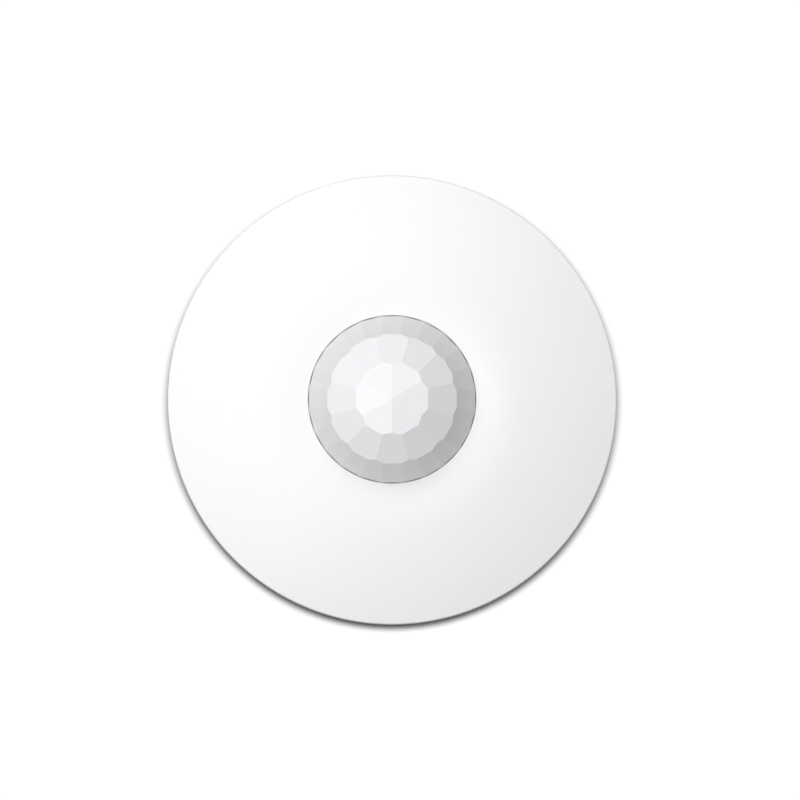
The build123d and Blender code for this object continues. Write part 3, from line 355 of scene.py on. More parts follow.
def prism(outline, low, high):
    """A prism as an object, to be used by combine."""
    bm = bmesh.new()
    prism_into(bm, outline, low, high)
    return add_mesh("tool", bm)


def combine(obj, operation, tools):
    """Joins tools to obj or cuts them from it, and keeps the result as a plain mesh."""
    for tool in tools:
        step = obj.modifiers.new("combine", "BOOLEAN")
        step.operation = operation
        step.solver = "MANIFOLD"
        step.object = tool
    shape = obj.evaluated_get(bpy.context.evaluated_depsgraph_get())
    obj.data = bpy.data.meshes.new_from_object(shape)
    obj.modifiers.clear()
    for tool in tools:
        bpy.data.objects.remove(tool)


def smooth(obj, degrees):
    """Smooth shading that keeps flat faces flat and edges sharper than the angle crisp."""
    obj.data.polygons.foreach_set("use_smooth", [True] * len(obj.data.polygons))
    obj.data.set_sharp_from_angle(angle=math.radians(degrees))
    weigh = obj.modifiers.new("flat faces", "WEIGHTED_NORMAL")
    weigh.keep_sharp = True


# ------------------------------------------------------------------ places of CAD parts
def parts_of(node):
    """The (lowest, highest) corners of every separate solid in a CAD node, sorted by place."""
    bm = bmesh.new()
    bm.from_mesh(frame["nodes"][node].data)
    bmesh.ops.remove_doubles(bm, verts=bm.verts, dist=MM / 1000)
    waiting = set(bm.verts)
    boxes = []
    while waiting:
        border = [waiting.pop()]
        found = []
        while border:
            vert = border.pop()
            found.append(vert.co.copy())
            beside = {edge.other_vert(vert) for edge in vert.link_edges} & waiting
            waiting -= beside
            border += beside
        boxes.append(tuple(Vector(map(pick, zip(*found))) for pick in (min, max)))
    bm.free()
    return sorted(boxes, key=lambda corners: tuple(corners[0]))


def centre_of(corners):
    return (corners[0] + corners[1]) / 2


def centre(node):
    return centre_of(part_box(node))


# ------------------------------------------------------------------ materials
class Shader:
    """A material being built, with short calls for the nodes that the materials here share."""

    def __init__(self, name):
        self.material = bpy.data.materials.new(name)
        self.material.use_nodes = True
        self.tree = self.material.node_tree
        self.surface = self.tree.nodes["Principled BSDF"]
        self.place = self.node("ShaderNodeTexCoord").outputs["Object"]

    def node(self, kind, **settings):
        node = self.tree.nodes.new(kind)
        for key, value in settings.items():
            setattr(node, key, value)
        return node

    def feed(self, socket, value):
        """Sets an input to a plain value, or links it to an output."""
        if isinstance(value, bpy.types.NodeSocket):
            self.tree.links.new(value, socket)
        else:
            socket.default_value = value

    def noise(self, per_metre, detail=2.0):
        node = self.node("ShaderNodeTexNoise")
        node.inputs["Scale"].default_value = per_metre
        node.inputs["Detail"].default_value = detail
        self.feed(node.inputs["Vector"], self.place)
        return node.outputs["Fac"]

    def span(self, value, first, last, low, high):
        """Stretches the values from first to last over low to high."""
        node = self.node("ShaderNodeMapRange")
        for name, number in (("From Min", first), ("From Max", last), ("To Min", low), ("To Max", high)):
            node.inputs[name].default_value = number
        self.feed(node.inputs["Value"], value)
        return node.outputs["Result"]

    def spread(self, noise, low, high):
        """Stretches a noise over low to high."""
        return self.span(noise, *NOISE_RANGE, low, high)

    def mix(self, share, first, second):
        """A colour between two colours."""
        node = self.node("ShaderNodeMix", data_type="RGBA")
        for name, value in (("Factor_Float", share), ("A_Color", first), ("B_Color", second)):
            socket = next(s for s in node.inputs if s.identifier == name)
            self.feed(socket, (*value, 1.0) if isinstance(value, tuple) else value)
        return next(s for s in node.outputs if s.identifier == "Result_Color")

    def mottled(self, noise, first, second):
        """A colour that wanders between two colours with a noise."""
        return self.mix(self.spread(noise, 0, 1), first, second)

    def bump(self, height, depth, under=None):
        """A bump of a given depth, on top of another bump."""
        node = self.node("ShaderNodeBump")
        node.inputs["Distance"].default_value = depth
        self.feed(node.inputs["Height"], height)
        if under is not None:
            self.feed(node.inputs["Normal"], under)
        return node.outputs["Normal"]

    def set(self, **values):
        """Sets inputs of the surface; names are written with underscores for spaces."""
        for key, value in values.items():
            self.feed(self.surface.inputs[key.replace("_", " ")], value)
        return self.material


def tinted(colour, share):
    """A slightly darker version of a colour."""
    return tuple(channel * share for channel in colour)


def moulded(name, colour, roughness):
    """Moulded plastic: faint mottling, fine grain and a slow waviness."""
    s = Shader(name)
    unevenness = 0.06
    grain = s.noise(per_metre=2500, detail=3)
    waviness = s.bump(s.noise(per_metre=120), depth=0.02 * MM)
    bumps = s.bump(grain, depth=0.004 * MM, under=waviness)
    shade = s.mottled(s.noise(per_metre=300), tinted(colour, share=0.94), colour)
    return s.set(Base_Color=shade, Normal=bumps,
                 Roughness=s.spread(grain, roughness - unevenness, roughness + unevenness))


def metal(name, colour, roughness):
    """Metal with fine scratches and cloudy patches of tarnish."""
    s = Shader(name)
    tarnish = 0.15
    patches = s.noise(per_metre=500)
    shade = s.mottled(patches, tinted(colour, share=0.8), colour)
    return s.set(Base_Color=shade, Metallic=1.0, Roughness=s.spread(patches, roughness, roughness + tarnish),
                 Normal=s.bump(s.noise(per_metre=4000, detail=3), depth=0.003 * MM))


def cover_plastic():
    """White cover moulding with a fine spark-eroded grain."""
    s = Shader("cover_plastic")
    grain = s.noise(per_metre=3500)
    waviness = s.bump(s.noise(per_metre=60), depth=0.02 * MM)
    bumps = s.bump(grain, depth=0.003 * MM, under=waviness)
    shade = s.mottled(s.noise(per_metre=35), tinted(COVER_COLOUR, share=0.99), COVER_COLOUR)
    return s.set(Base_Color=shade, Roughness=s.spread(grain, 0.42, 0.54), Normal=bumps)


def lens_plastic():
    """Milky, slightly bluish polyethylene that lets some light through, with painted shade where its facets
    are seen at a slant.
    """
    s = Shader("lens_plastic")
    mottle = s.noise(per_metre=900, detail=3)
    shade = s.mottled(mottle, tinted(LENS_COLOUR, share=0.97), LENS_COLOUR)
    slant = s.node("ShaderNodeLayerWeight").outputs["Facing"]
    # painted shade: the lens colour darkens where its facets are seen at a slant
    slant_shaded = s.mix(s.span(slant, *LENS_SLANTS, 0, 1), shade, LENS_COLOUR_SLANT_SHADED)
    return s.set(Base_Color=slant_shaded, Roughness=s.spread(mottle, 0.36, 0.46), IOR=1.51,
                 Subsurface_Weight=0.15, Subsurface_Radius=(1, 1, 1), Subsurface_Scale=0.4 * MM,
                 Normal=s.bump(mottle, depth=0.012 * MM))


def solder_mask():
    """Green solder mask over a woven board."""
    s = Shader("board")
    weave = s.node("ShaderNodeTexChecker")
    weave.inputs["Scale"].default_value = 1500
    s.feed(weave.inputs["Vector"], s.place)
    shade = s.mottled(s.noise(per_metre=90), *BOARD_COLOURS)
    waviness = s.bump(s.noise(per_metre=400), depth=0.01 * MM)
    bumps = s.bump(weave.outputs["Fac"], depth=0.002 * MM, under=waviness)
    return s.set(Base_Color=shade, Roughness=s.spread(s.noise(per_metre=700), 0.28, 0.4), Normal=bumps,
                 Coat_Weight=0.3)


def infrared_filter():
    """Dark, mirror-like filter glass."""
    s = Shader("infrared_filter")
    shade = s.mottled(s.noise(per_metre=400), *FILTER_COLOURS)
    return s.set(Base_Color=shade, Roughness=s.spread(s.noise(per_metre=900), 0.04, 0.1), Coat_Weight=0.6,
                 Normal=s.bump(s.noise(per_metre=2000), depth=0.001 * MM))


def led_red():
    """Tinted clear epoxy."""
    s = Shader("led_red")
    shade = s.mottled(s.noise(per_metre=500), *LED_COLOURS)
    return s.set(Base_Color=shade, Roughness=s.spread(s.noise(per_metre=900), 0.08, 0.16),
                 Transmission_Weight=0.35, IOR=1.52,
                 Normal=s.bump(s.noise(per_metre=1500), depth=0.002 * MM))


def black_rubber():
    """Matt rubber with a dusty bloom."""
    s = Shader("black_rubber")
    shade = s.mottled(s.noise(per_metre=700, detail=4), *RUBBER_COLOURS)
    return s.set(Base_Color=shade, Roughness=s.spread(s.noise(per_metre=1500), 0.65, 0.85),
                 Normal=s.bump(s.noise(per_metre=3000, detail=3), depth=0.012 * MM))


def build_materials():
    """One procedural material for every material slot of the record, and for what is drawn on the board."""
    made = {name: moulded(name, *finish) for name, finish in MOULDINGS.items()}
    made |= {name: metal(name, *finish) for name, finish in METALS.items()}
    made["board"] = solder_mask()
    for make in (cover_plastic, lens_plastic, infrared_filter, led_red, black_rubber):
        made[make.__name__] = make()
    return made


# ------------------------------------------------------------------ finish of the pieces
def dress_cad_nodes():
    """Gives every CAD node the procedural material of its slot."""
    for part in frame["record"]["subparts"]:
        obj = frame["nodes"][part["node"]]
        obj.data.materials.clear()
        obj.data.materials.append(materials[part["material_slot"]])


def round_edges():
    """Breaks the sharp edges of the small mouldings on the board."""
    for name in ROUNDED_NODES:
        obj = frame["nodes"][name]
        weld = obj.modifiers.new("join faces", "WELD")
        weld.merge_threshold = MM / 1000
        edges = obj.modifiers.new("edges", "BEVEL")
        edges.width = EDGE_ROUND
        edges.segments = 2
        edges.limit_method = "ANGLE"
        edges.angle_limit = math.radians(40)
        edges.use_clamp_overlap = True
        weigh = obj.modifiers.new("flat faces", "WEIGHTED_NORMAL")
        weigh.keep_sharp = False


def finish_piece(obj, body, slot, material=None, replaces=()):
    """Gives a piece its material, the named one or else that of its slot, parents it to its body, and hides
    the CAD nodes that it stands for.
    """
    obj.data.materials.clear()
    obj.data.materials.append(materials[material or slot])
    if body:
        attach(obj, body)
    if replaces:
        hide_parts(*replaces)


# ------------------------------------------------------------------ front cover
def cover_section():
    """The cover's section: over the crown from the aperture lip to the skirt's foot, and back inside."""
    turn = math.asin((SLOPE_START - CROWN_RING) / CROWN_ARC)
    crown = (CROWN_RING, COVER_TOP - CROWN_ARC)
    slope = (crown[0] - (SLOPE_ARC - CROWN_ARC) * math.sin(turn),
             crown[1] - (SLOPE_ARC - CROWN_ARC) * math.cos(turn))

    def roof(wall, inner, outer):
        first = math.asin((inner - crown[0]) / (CROWN_ARC - wall))
        last = math.asin((outer - slope[0]) / (SLOPE_ARC - wall))
        return (arc(crown, CROWN_ARC - wall, first, turn, steps=24)
                + arc(slope, SLOPE_ARC - wall, turn, last, steps=40)[1:])

    outside = roof(0.0, APERTURE, COVER_RADIUS - SKIRT_DRAFT)
    inside = roof(COVER_WALL, SEAT_RADIUS, COVER_RADIUS - COVER_WALL)
    foot = (COVER_RADIUS, COVER_BOTTOM)
    inner_foot = (COVER_RADIUS - COVER_WALL, COVER_BOTTOM)
    lip_foot = (APERTURE, SEAT_Z)
    near = 3  # points of the roof that give its direction at either end
    lip = rounded(outside[0], lip_foot, outside[near], LIP_ROUND)
    rim = rounded(outside[-1], outside[-1 - near], foot, RIM_ROUND, steps=12)
    section = [lip_foot] + lip
    section += [point for point in outside if lip[-1][0] < point[0] < rim[0][0]]
    section += rim
    section += rounded(foot, rim[-1], inner_foot, SKIRT_FOOT_ROUND)
    section += rounded(inner_foot, foot, inside[-1], SKIRT_FOOT_ROUND)
    section += inside[::-1]
    return section + [(SEAT_RADIUS, SEAT_Z)]


def cover_inside():
    """The keys, snap beads, screw bosses, tamper post and lens key inside the cover."""
    inside_wall = COVER_TOP - COVER_WALL / 2
    bead_top = COVER_BOTTOM + BEAD_HEIGHT
    tools = [prism(bar(KEY_INNER, SKIRT_ROOT, KEY_WIDTH, angle), KEY_BOTTOM, KEY_TOP) for angle in KEY_ANGLES]
    tools += [prism(sector(BEAD_INNER, SKIRT_ROOT, angle, BEAD_SPAN), COVER_BOTTOM, bead_top)
              for angle in BEAD_ANGLES]
    tools += [prism(circle(BOSS_RADIUS, *centre_of(screw).xy), FLANGE_FOOT, inside_wall)
              for screw in parts_of("retainer_screws")]
    post_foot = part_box("tamper_plunger")[1].z + POST_GAP
    tools.append(prism(circle(POST_RADIUS, *centre("tamper_plunger").xy), post_foot, inside_wall))
    lens_key = bar(LENS_KEY_INNER, LENS_KEY_OUTER, LENS_KEY_WIDTH, LENS_KEY_ANGLE)
    tools.append(prism(lens_key, FLANGE_FOOT + LENS_KEY_LIFT, SEAT_Z + LENS_KEY_ROOT))
    return tools


def build_cover():
    bm = bmesh.new()
    lathe_into(bm, cover_section(), COVER_SEGMENTS)
    cover = add_mesh("cover_moulding", bm)
    combine(cover, "UNION", cover_inside())
    holes = [prism(circle(BOSS_BORE, *centre_of(screw).xy, count=32), 0.0, BOSS_BORE_TOP)
             for screw in parts_of("retainer_screws")]
    notch = prism(bar(COVER_RADIUS - NOTCH_DEPTH, COVER_RADIUS + OVERSHOOT, NOTCH_WIDTH, NOTCH_ANGLE),
                  0.0, COVER_BOTTOM + NOTCH_HEIGHT)
    combine(cover, "DIFFERENCE", holes + [notch])
    smooth(cover, degrees=35)
    finish_piece(cover, "front_cover", "cover_plastic", replaces=["front_cover"])


# ------------------------------------------------------------------ lens
def facets():
    """A point on every facet of the lens, with the facet's outward normal."""
    planes = []
    inner = 0.0
    height = LENS_TIP
    for count, tilt, outer in LENS_RINGS:
        slope = math.radians(tilt)
        drop = (outer - inner) * math.tan(slope)
        for i in range(count):
            around = Matrix.Rotation(TURN * i / count, 3, "Z")
            normal = around @ Vector((math.sin(slope), 0, math.cos(slope)))
            point = around @ Vector(((inner + outer) / 2, 0, height - drop / 2))
            planes.append((point, normal))
        inner = outer
        height -= drop
    return planes


def faceted_dome(radius, inset, bottom):
    """An upright prism with one side for every outer facet, cut back to every facet plane."""
    sides = LENS_RINGS[-1][0]
    half = TURN / 2 / sides
    turn = Matrix.Rotation(half, 2)
    bm = bmesh.new()
    prism_into(bm, [turn @ Vector(corner) for corner in circle(radius / math.cos(half), count=sides)],
               bottom, LENS_TIP + OVERSHOOT)
    for point, normal in facets():
        cut = bmesh.ops.bisect_plane(bm, geom=bm.verts[:] + bm.edges[:] + bm.faces[:],
                                     plane_co=point - normal * inset, plane_no=normal, clear_outer=True)
        edges = [item for item in cut["geom_cut"] if isinstance(item, bmesh.types.BMEdge)]
        bmesh.ops.edgenet_fill(bm, edges=edges)
    bmesh.ops.remove_doubles(bm, verts=bm.verts, dist=0.002 * MM)
    bmesh.ops.dissolve_limit(bm, angle_limit=math.radians(0.5), verts=bm.verts, edges=bm.edges)
    return bm


def soften(bm, above, offset):
    """Rounds every edge of a bmesh that lies above a height."""
    bm.normal_update()
    edges = [edge for edge in bm.edges if edge.calc_face_angle(0) > math.radians(FACET_EDGE_ANGLE)
             and min(vert.co.z for vert in edge.verts) > above]
    bmesh.ops.bevel(bm, geom=edges, offset=offset, segments=3, profile=0.5, affect="EDGES",
                    clamp_overlap=True)
    return bm


def build_lens():
    """The faceted shell with its round flange, hollow inside and notched for the cover's key."""
    shell = faceted_dome(LENS_BARREL + LENS_BARREL_MARGIN, 0.0, LENS_BOTTOM)
    lens = add_mesh("lens_moulding", soften(shell, LENS_BOTTOM + OVERSHOOT, FACET_ROUND))
    combine(lens, "UNION", [prism(circle(LENS_FLANGE_RADIUS, count=192), LENS_BOTTOM, SEAT_Z)])
    hollow = add_mesh("tool", faceted_dome(LENS_BARREL - LENS_WALL, LENS_WALL, LENS_BOTTOM - OVERSHOOT))
    notch = bar(LENS_FLANGE_RADIUS - LENS_NOTCH_DEPTH, LENS_FLANGE_RADIUS + OVERSHOOT, LENS_NOTCH_WIDTH,
                LENS_KEY_ANGLE)
    combine(lens, "DIFFERENCE", [hollow, prism(notch, LENS_BOTTOM - OVERSHOOT, SEAT_Z + OVERSHOOT)])
    smooth(lens, degrees=30)
    finish_piece(lens, "front_cover", "lens_plastic", replaces=["fresnel_lens"])


# ------------------------------------------------------------------ tracks on the board
def route(start, end):
    """The points of a board track between two points: a diagonal stretch, then a straight one."""
    start, end = Vector(start), Vector(end)
    gap = end - start
    reach = min(abs(gap.x), abs(gap.y))
    bend = start + Vector((math.copysign(reach, gap.x), math.copysign(reach, gap.y)))
    if min((bend - start).length, (end - bend).length) < TRACE_WIDTH / 2:
        return [start, end]
    return [start, bend, end]


def dots(points):
    """Points close together along a route, to measure its distance from other routes."""
    count = 40
    return [a.lerp(b, i / count) for a, b in zip(points, points[1:]) for i in range(count + 1)]


def switch_tracks(controller):
    """From the option switches to the near side of the controller chip."""
    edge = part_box("option_switch_housing")[1].x
    rows = [centre(f"option_slider_{i + 1}").y for i in range(4)]
    return [((edge, row), (controller.x - CHIP_REACH, (i - 1.5) * LEG_PITCH)) for i, row in enumerate(rows)]


def terminal_tracks():
    """From the back of the terminal block towards the middle of the board."""
    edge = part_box("terminal_housing")[1].y
    columns = [centre(f"terminal_screw_{i + 1}").x for i in range(6)]
    return [((x, edge), (x * TERMINAL_TRACK_SPREAD, TERMINAL_TRACK_END)) for x in columns]


def amplifier_tracks(amplifier):
    """Fanning out from both rows of legs of the amplifier chip."""
    ends = []
    for i in range(4):
        leg = (i - 1.5) * LEG_PITCH
        for side, spread, end in zip((-1, 1), AMPLIFIER_TRACK_SPREADS, AMPLIFIER_TRACK_ENDS):
            start = (amplifier.x + leg, amplifier.y + side * CHIP_REACH)
            ends.append((start, (leg * spread, end)))
    return ends


def small_part_tracks():
    """A long stub from the outer end of every small chip part, and a short one from its inner end."""
    ends = []
    for low, high in parts_of("chip_resistors") + parts_of("chip_capacitors"):
        spot = centre_of((low, high)).xy
        outward = Matrix.Diagonal((math.copysign(1, spot.x), 1))
        pad = outward @ Vector(((high.x - low.x) / 2, 0))
        ends.append((spot + pad, spot + outward @ Vector(LONG_STUB)))
        ends.append((spot - pad, spot - outward @ Vector(SHORT_STUB)))
    return ends


def track_ends():
    """The two ends of every track on the board."""
    regulator, controller, amplifier = [centre_of(box).xy for box in parts_of("control_chips")]
    ends = switch_tracks(controller) + terminal_tracks() + amplifier_tracks(amplifier) + small_part_tracks()
    return ends + [(regulator, (regulator.x, REGULATOR_TRACK_END))]


def build_tracks():
    """Copper tracks under the solder mask, each ending in a small round via; none comes near another."""
    bm = bmesh.new()
    taken = []
    for start, end in track_ends():
        points = route(start, end)
        along = dots(points)
        if any((here - there).length < TRACK_CLEARANCE for here in along for there in taken):
            continue
        taken += along
        prism_into(bm, ribbon(points, TRACE_WIDTH), BOARD_TOP, BOARD_TOP + TRACE_HEIGHT)
        prism_into(bm, circle(TRACE_WIDTH, *end, count=16), BOARD_TOP, BOARD_TOP + VIA_HEIGHT)
    finish_piece(add_mesh("board_tracks", bm), "sensor_head", "board", "trace_mask")


# ------------------------------------------------------------------ white print on the board
def grouped(boxes, gap):
    """Flat (lowest, highest) corners a gap outside every box; boxes that are close together share theirs."""
    groups = []
    for box in boxes:
        low, high = box[0].xy - Vector((gap, gap)), box[1].xy + Vector((gap, gap))
        for other in groups[:]:
            apart = max(*(low - other[1]), *(other[0] - high))
            if apart < INK_WIDTH:
                groups.remove(other)
                low = Vector(map(min, low, other[0]))
                high = Vector(map(max, high, other[1]))
        groups.append((low, high))
    return groups


def frame_into(bm, low, high):
    """A rectangle of printed lines."""
    bottom, top = BOARD_TOP, BOARD_TOP + INK_HEIGHT
    corners = (((low.x, low.y), (-1, -1)), ((high.x, low.y), (1, -1)), ((high.x, high.y), (1, 1)),
               ((low.x, high.y), (-1, 1)))
    rings = []
    for corner, out in corners:
        half = Vector(out) * INK_WIDTH / 2
        inner, outer = Vector(corner) - half, Vector(corner) + half
        section = ((inner, bottom), (outer, bottom), (outer, top), (inner, top))
        rings.append([bm.verts.new((*point, z)) for point, z in section])
    join_rings(bm, rings)


def print_frames(bm):
    """Rectangles round the housings and round the small parts."""
    housings = map(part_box, HOUSINGS)
    small_parts = parts_of("chip_resistors") + parts_of("chip_capacitors") + parts_of("supply_diodes")
    for corners in grouped(housings, HOUSING_FRAME_GAP) + grouped(small_parts, CHIP_FRAME_GAP):
        frame_into(bm, *corners)


def print_rings(bm):
    """Circles round the round parts."""
    for box in parts_of("electrolytic_capacitors") + [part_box("indicator_led"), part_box("sensor_collar")]:
        inner = (box[1].x - box[0].x) / 2 + RING_GAP
        outer = inner + INK_WIDTH
        bottom, top = BOARD_TOP, BOARD_TOP + INK_HEIGHT
        section = [(inner, bottom), (outer, bottom), (outer, top), (inner, top)]
        lathe_into(bm, section, segments=64, centre=centre_of(box).xy)


def print_dots(bm):
    """The dot in the first corner of each chip and of the relay."""
    for box in parts_of("control_chips") + [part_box("alarm_relay")]:
        dot = circle(DOT_RADIUS, box[0].x + DOT_INSET, box[1].y - DOT_INSET, count=24)
        prism_into(bm, dot, box[1].z, box[1].z + INK_HEIGHT)


def print_bands(bm):
    """The band across one end of each diode."""
    for low, high in parts_of("supply_diodes"):
        x = low.x + BAND_INSET
        ends = [Vector((x, low.y + BAND_END_GAP)), Vector((x, high.y - BAND_END_GAP))]
        prism_into(bm, ribbon(ends, BAND_WIDTH), high.z, high.z + INK_HEIGHT)


def build_print():
    """White printed outlines on the board, and the dots and bands printed on its parts."""
    bm = bmesh.new()
    for draw in (print_frames, print_rings, print_dots, print_bands):
        draw(bm)
    finish_piece(add_mesh("white_print", bm), "sensor_head", "board", "white_ink")


# ------------------------------------------------------------------ metal details on the board
def cap_end(bm, box, side):
    """A metal end on a small chip part, with a hollow solder fillet down to its pad."""
    low, high = box
    width = high.y - low.y
    height = high.z - BOARD_TOP
    wrap = END_SHARE * (high.x - low.x)
    face = high.x if side > 0 else low.x
    out, across = Vector((side, 0, 0)), Vector((0, 1, 0))
    start = Vector((face, (low.y + high.y) / 2, BOARD_TOP))
    jacket = [(-wrap, END_METAL), (END_METAL, END_METAL), (END_METAL, height + END_METAL),
              (-wrap, height + END_METAL)]
    extrude_into(bm, jacket, start, out, across, width + 2 * END_METAL)
    reach = FILLET_REACH * height + FILLET_FOOT
    rise = FILLET_RISE * height
    angles = [TURN / 4 * i / FILLET_STEPS for i in range(FILLET_STEPS + 1)]
    curve = [(END_METAL + reach * (1 - math.sin(a)), rise * (1 - math.cos(a))) for a in angles]
    extrude_into(bm, [(END_METAL / 2, 0.0)] + curve, start, out, across, width * FILLET_WIDTH)


def build_solder():
    """Metal ends and solder fillets of the small chip parts and the diodes."""
    bm = bmesh.new()
    for box in parts_of("chip_resistors") + parts_of("chip_capacitors") + parts_of("supply_diodes"):
        for side in (-1, 1):
            cap_end(bm, box, side)
    solder = add_mesh("solder_joints", bm)
    smooth(solder, degrees=30)
    finish_piece(solder, "sensor_head", "tinned_metal")


def in_metres(profile):
    """A profile that is written in mm."""
    return [(r * MM, z * MM) for r, z in profile]


def wing_legs_into(bm, chips):
    """The bent part of each leg of the two large chips, above its foot."""
    for foot in parts_of("chip_legs"):
        spot = centre_of(foot)
        chip = min(chips, key=lambda box: (centre_of(box) - spot).length)
        along_x = (foot[1].x - foot[0].x) > (foot[1].y - foot[0].y)
        away = spot - centre_of(chip)
        out = Vector((away.x, 0, 0) if along_x else (0, away.y, 0)).normalized()
        across = Vector((out.y, out.x, 0))
        start = spot - out * WING_LEG_SETBACK
        start.z = BOARD_TOP
        extrude_into(bm, in_metres(WING_LEG), start, out, across, WING_LEG_WIDTH)


def regulator_legs_into(bm, regulator):
    """The regulator's three legs, and the cooling tab opposite."""
    low, high = regulator
    middle = (low.x + high.x) / 2
    profile = in_metres(REGULATOR_LEG)
    across = Vector((1, 0, 0))
    for i in (-1, 0, 1):
        start = Vector((middle + i * REGULATOR_LEG_PITCH, low.y, BOARD_TOP))
        extrude_into(bm, profile, start, Vector((0, -1, 0)), across, REGULATOR_LEG_WIDTH)
    start = Vector((middle, high.y, BOARD_TOP))
    extrude_into(bm, profile, start, Vector((0, 1, 0)), across, REGULATOR_TAB_WIDTH)


def build_chip_legs():
    bm = bmesh.new()
    chips = parts_of("control_chips")
    wing_legs_into(bm, chips)
    regulator_legs_into(bm, chips[0])
    finish_piece(add_mesh("chip_wing_legs", bm), "sensor_head", "tinned_metal")


def build_capacitor_tops():
    """Bare aluminium end of each upright capacitor, scored in a cross so that it can vent."""
    bm = bmesh.new()
    for low, high in parts_of("electrolytic_capacitors"):
        spot = centre_of((low, high))
        radius = (high.x - low.x) / 2 - CAN_EDGE
        for quarter in (45, 135, 225, 315):
            outline = sector(SCORE_START, radius, quarter, SCORED_SPAN, *spot.xy)
            prism_into(bm, outline, high.z, high.z + CAN_END_HEIGHT)
    finish_piece(add_mesh("capacitor_tops", bm), "sensor_head", "can_sleeve", "aluminium")


def build_polarity_stripes():
    """The pale stripe down one side of each capacitor's sleeve."""
    bm = bmesh.new()
    for low, high in parts_of("electrolytic_capacitors"):
        spot = centre_of((low, high))
        radius = (high.x - low.x) / 2
        outline = sector(radius - STRIPE_ROOT, radius + STRIPE_HEIGHT, STRIPE_ANGLE, STRIPE_SPAN, *spot.xy)
        prism_into(bm, outline, low.z + STRIPE_FOOT_GAP, high.z - STRIPE_HEAD_GAP)
    finish_piece(add_mesh("capacitor_stripes", bm), "sensor_head", "can_sleeve", "white_ink")


# ------------------------------------------------------------------ tamper spring
def coil_into(bm, foot, radius, height):
    """An upright coil of round wire; the foot is the middle of its first turn."""
    steps = SPRING_STEPS_PER_TURN * SPRING_TURNS
    loops = []
    for i in range(steps + 1):
        angle = TURN * SPRING_TURNS * i / steps
        out = Vector((math.cos(angle), math.sin(angle), 0))
        point = foot + out * radius
        point.z = foot.z + height * i / steps
        loops.append([bm.verts.new(point + SPRING_WIRE * (out * math.cos(a) + Vector((0, 0, math.sin(a)))))
                      for a in (TURN * j / SPRING_SIDES for j in range(SPRING_SIDES))])
    for here, there in zip(loops, loops[1:]):
        for j in range(SPRING_SIDES):
            bm.faces.new((here[j - 1], there[j - 1], there[j], here[j]))
    bm.faces.new(loops[0])
    bm.faces.new(loops[-1][::-1])


def build_spring():
    """The coil under the plunger's collar, as a fixed mesh; nothing here makes it lengthen as the plunger
    rises.
    """
    lowest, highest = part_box("tamper_spring")
    foot, head = centre("tamper_spring"), centre("tamper_spring")
    foot.z, head.z = lowest.z, highest.z
    bm = bmesh.new()
    coil_into(bm, foot + Vector((0, 0, SPRING_WIRE)), (highest.x - lowest.x) / 2 - SPRING_WIRE,
              highest.z - lowest.z - 2 * SPRING_WIRE)
    spring = add_mesh("tamper_spring_coil", bm)
    smooth(spring, degrees=60)
    finish_piece(spring, None, "spring_steel", replaces=["tamper_spring"])
    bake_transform(spring)


# ------------------------------------------------------------------ floor
def painted_contact_shadow(s):
    """The floor's brightness as the camera sees it: even, but with a painted contact shadow that is darker in
    the crease beside the object.
    """
    lean = s.node("ShaderNodeCombineXYZ")
    for socket, value in zip(lean.inputs, CONTACT_LEAN):
        socket.default_value = value
    crease = s.node("ShaderNodeAmbientOcclusion", samples=24)
    crease.inputs["Distance"].default_value = CONTACT_REACH
    s.feed(crease.inputs["Normal"], lean.outputs["Vector"])
    ramp = s.node("ShaderNodeValToRGB")
    stops = ramp.color_ramp.elements
    while len(stops) < len(CONTACT_SHADOW_TONES):
        stops.new(0.5)
    for stop, (position, tone) in zip(stops, CONTACT_SHADOW_TONES):
        stop.position = position
        stop.color = (tone, tone, tone, 1.0)
    s.feed(ramp.inputs["Fac"], crease.outputs["AO"])
    return ramp.outputs["Color"]


def floor_material():
    """Pale light-table floor: it glows evenly to the camera apart from a painted contact shadow, and is a
    plain dull surface to all other light.
    """
    s = Shader("floor_white")
    glow = s.node("ShaderNodeEmission")
    # the glow that the camera sees carries the painted contact shadow
    s.feed(glow.inputs["Color"], painted_contact_shadow(s))
    s.set(Base_Color=s.mottled(s.noise(per_metre=8), *FLOOR_COLOURS), Roughness=0.8)
    seen = s.node("ShaderNodeLightPath").outputs["Is Camera Ray"]
    join = s.node("ShaderNodeMixShader")
    for socket, value in zip(join.inputs, (seen, s.surface.outputs["BSDF"], glow.outputs["Emission"])):
        s.feed(socket, value)
    s.feed(s.tree.nodes["Material Output"].inputs["Surface"], join.outputs["Shader"])
    return s.material


def build_floor():
    """The ceiling surface behind the sensor, as a plain pale plane."""
    bm = bmesh.new()
    bmesh.ops.create_grid(bm, x_segments=8, y_segments=8, size=FLOOR_SIZE)
    floor = add_mesh("floor", bm)
    floor.data.materials.append(floor_material())


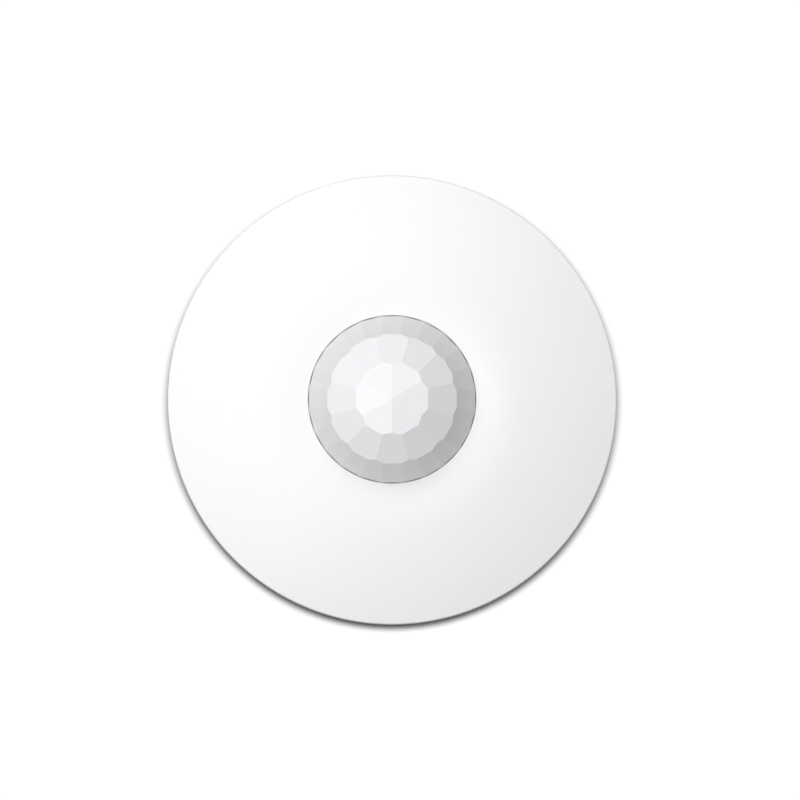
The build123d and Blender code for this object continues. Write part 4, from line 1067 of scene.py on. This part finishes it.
# ------------------------------------------------------------------ light and camera
def build_world():
    """White studio light from all round, weaker from the sides; the camera sees it as plain white."""
    world = bpy.data.worlds.new("studio")
    world.use_nodes = True
    tree = world.node_tree
    direction = tree.nodes.new("ShaderNodeTexCoord")
    split = tree.nodes.new("ShaderNodeSeparateXYZ")
    grade = tree.nodes.new("ShaderNodeMapRange")
    grade.inputs["To Min"].default_value = SIDE_LIGHT
    grade.inputs["To Max"].default_value = OVERHEAD_LIGHT
    path = tree.nodes.new("ShaderNodeLightPath")
    strength = tree.nodes.new("ShaderNodeMath")
    strength.operation = "MAXIMUM"
    back = tree.nodes["Background"]
    back.inputs["Color"].default_value = (1, 1, 1, 1)
    tree.links.new(direction.outputs["Generated"], split.inputs["Vector"])
    tree.links.new(split.outputs["Z"], grade.inputs["Value"])
    tree.links.new(grade.outputs["Result"], strength.inputs[0])
    tree.links.new(path.outputs["Is Camera Ray"], strength.inputs[1])
    tree.links.new(strength.outputs["Value"], back.inputs["Strength"])
    bpy.context.scene.world = world


def soft_light(name, azimuth, elevation, power):
    """A round soft light aimed at the middle of the object; angles are in degrees."""
    light = bpy.data.lights.new(name, "AREA")
    light.shape = "DISK"
    light.size = LIGHT_SIZE
    light.energy = power
    obj = bpy.data.objects.new(name, light)
    bpy.context.scene.collection.objects.link(obj)
    a, e = math.radians(azimuth), math.radians(elevation)
    direction = Vector((math.cos(e) * math.cos(a), math.cos(e) * math.sin(a), math.sin(e)))
    obj.location = direction * LIGHT_DISTANCE
    obj.rotation_euler = direction.to_track_quat("Z", "Y").to_euler()


def build_camera():
    """A long lens looking straight at the ceiling, from very slightly below the axis."""
    data = bpy.data.cameras.new("camera")
    data.sensor_width = SENSOR_SIZE
    data.lens = SENSOR_SIZE * CAMERA_DISTANCE / VIEW_WIDTH
    camera = bpy.data.objects.new("camera", data)
    bpy.context.scene.collection.objects.link(camera)
    camera.location = VIEW_SHIFT + CAMERA_DISTANCE * Vector((0, -math.sin(VIEW_TILT), math.cos(VIEW_TILT)))
    camera.rotation_euler = (VIEW_TILT, 0, 0)
    bpy.context.scene.camera = camera
    bpy.context.scene.view_settings.view_transform = "Standard"


# ------------------------------------------------------------------ build everything
materials = build_materials()
dress_cad_nodes()
round_edges()
build_cover()
build_lens()
build_tracks()
build_print()
build_solder()
build_chip_legs()
build_capacitor_tops()
build_polarity_stripes()
build_spring()
build_floor()
build_world()
for light in LIGHTS:
    soft_light(*light)
build_camera()
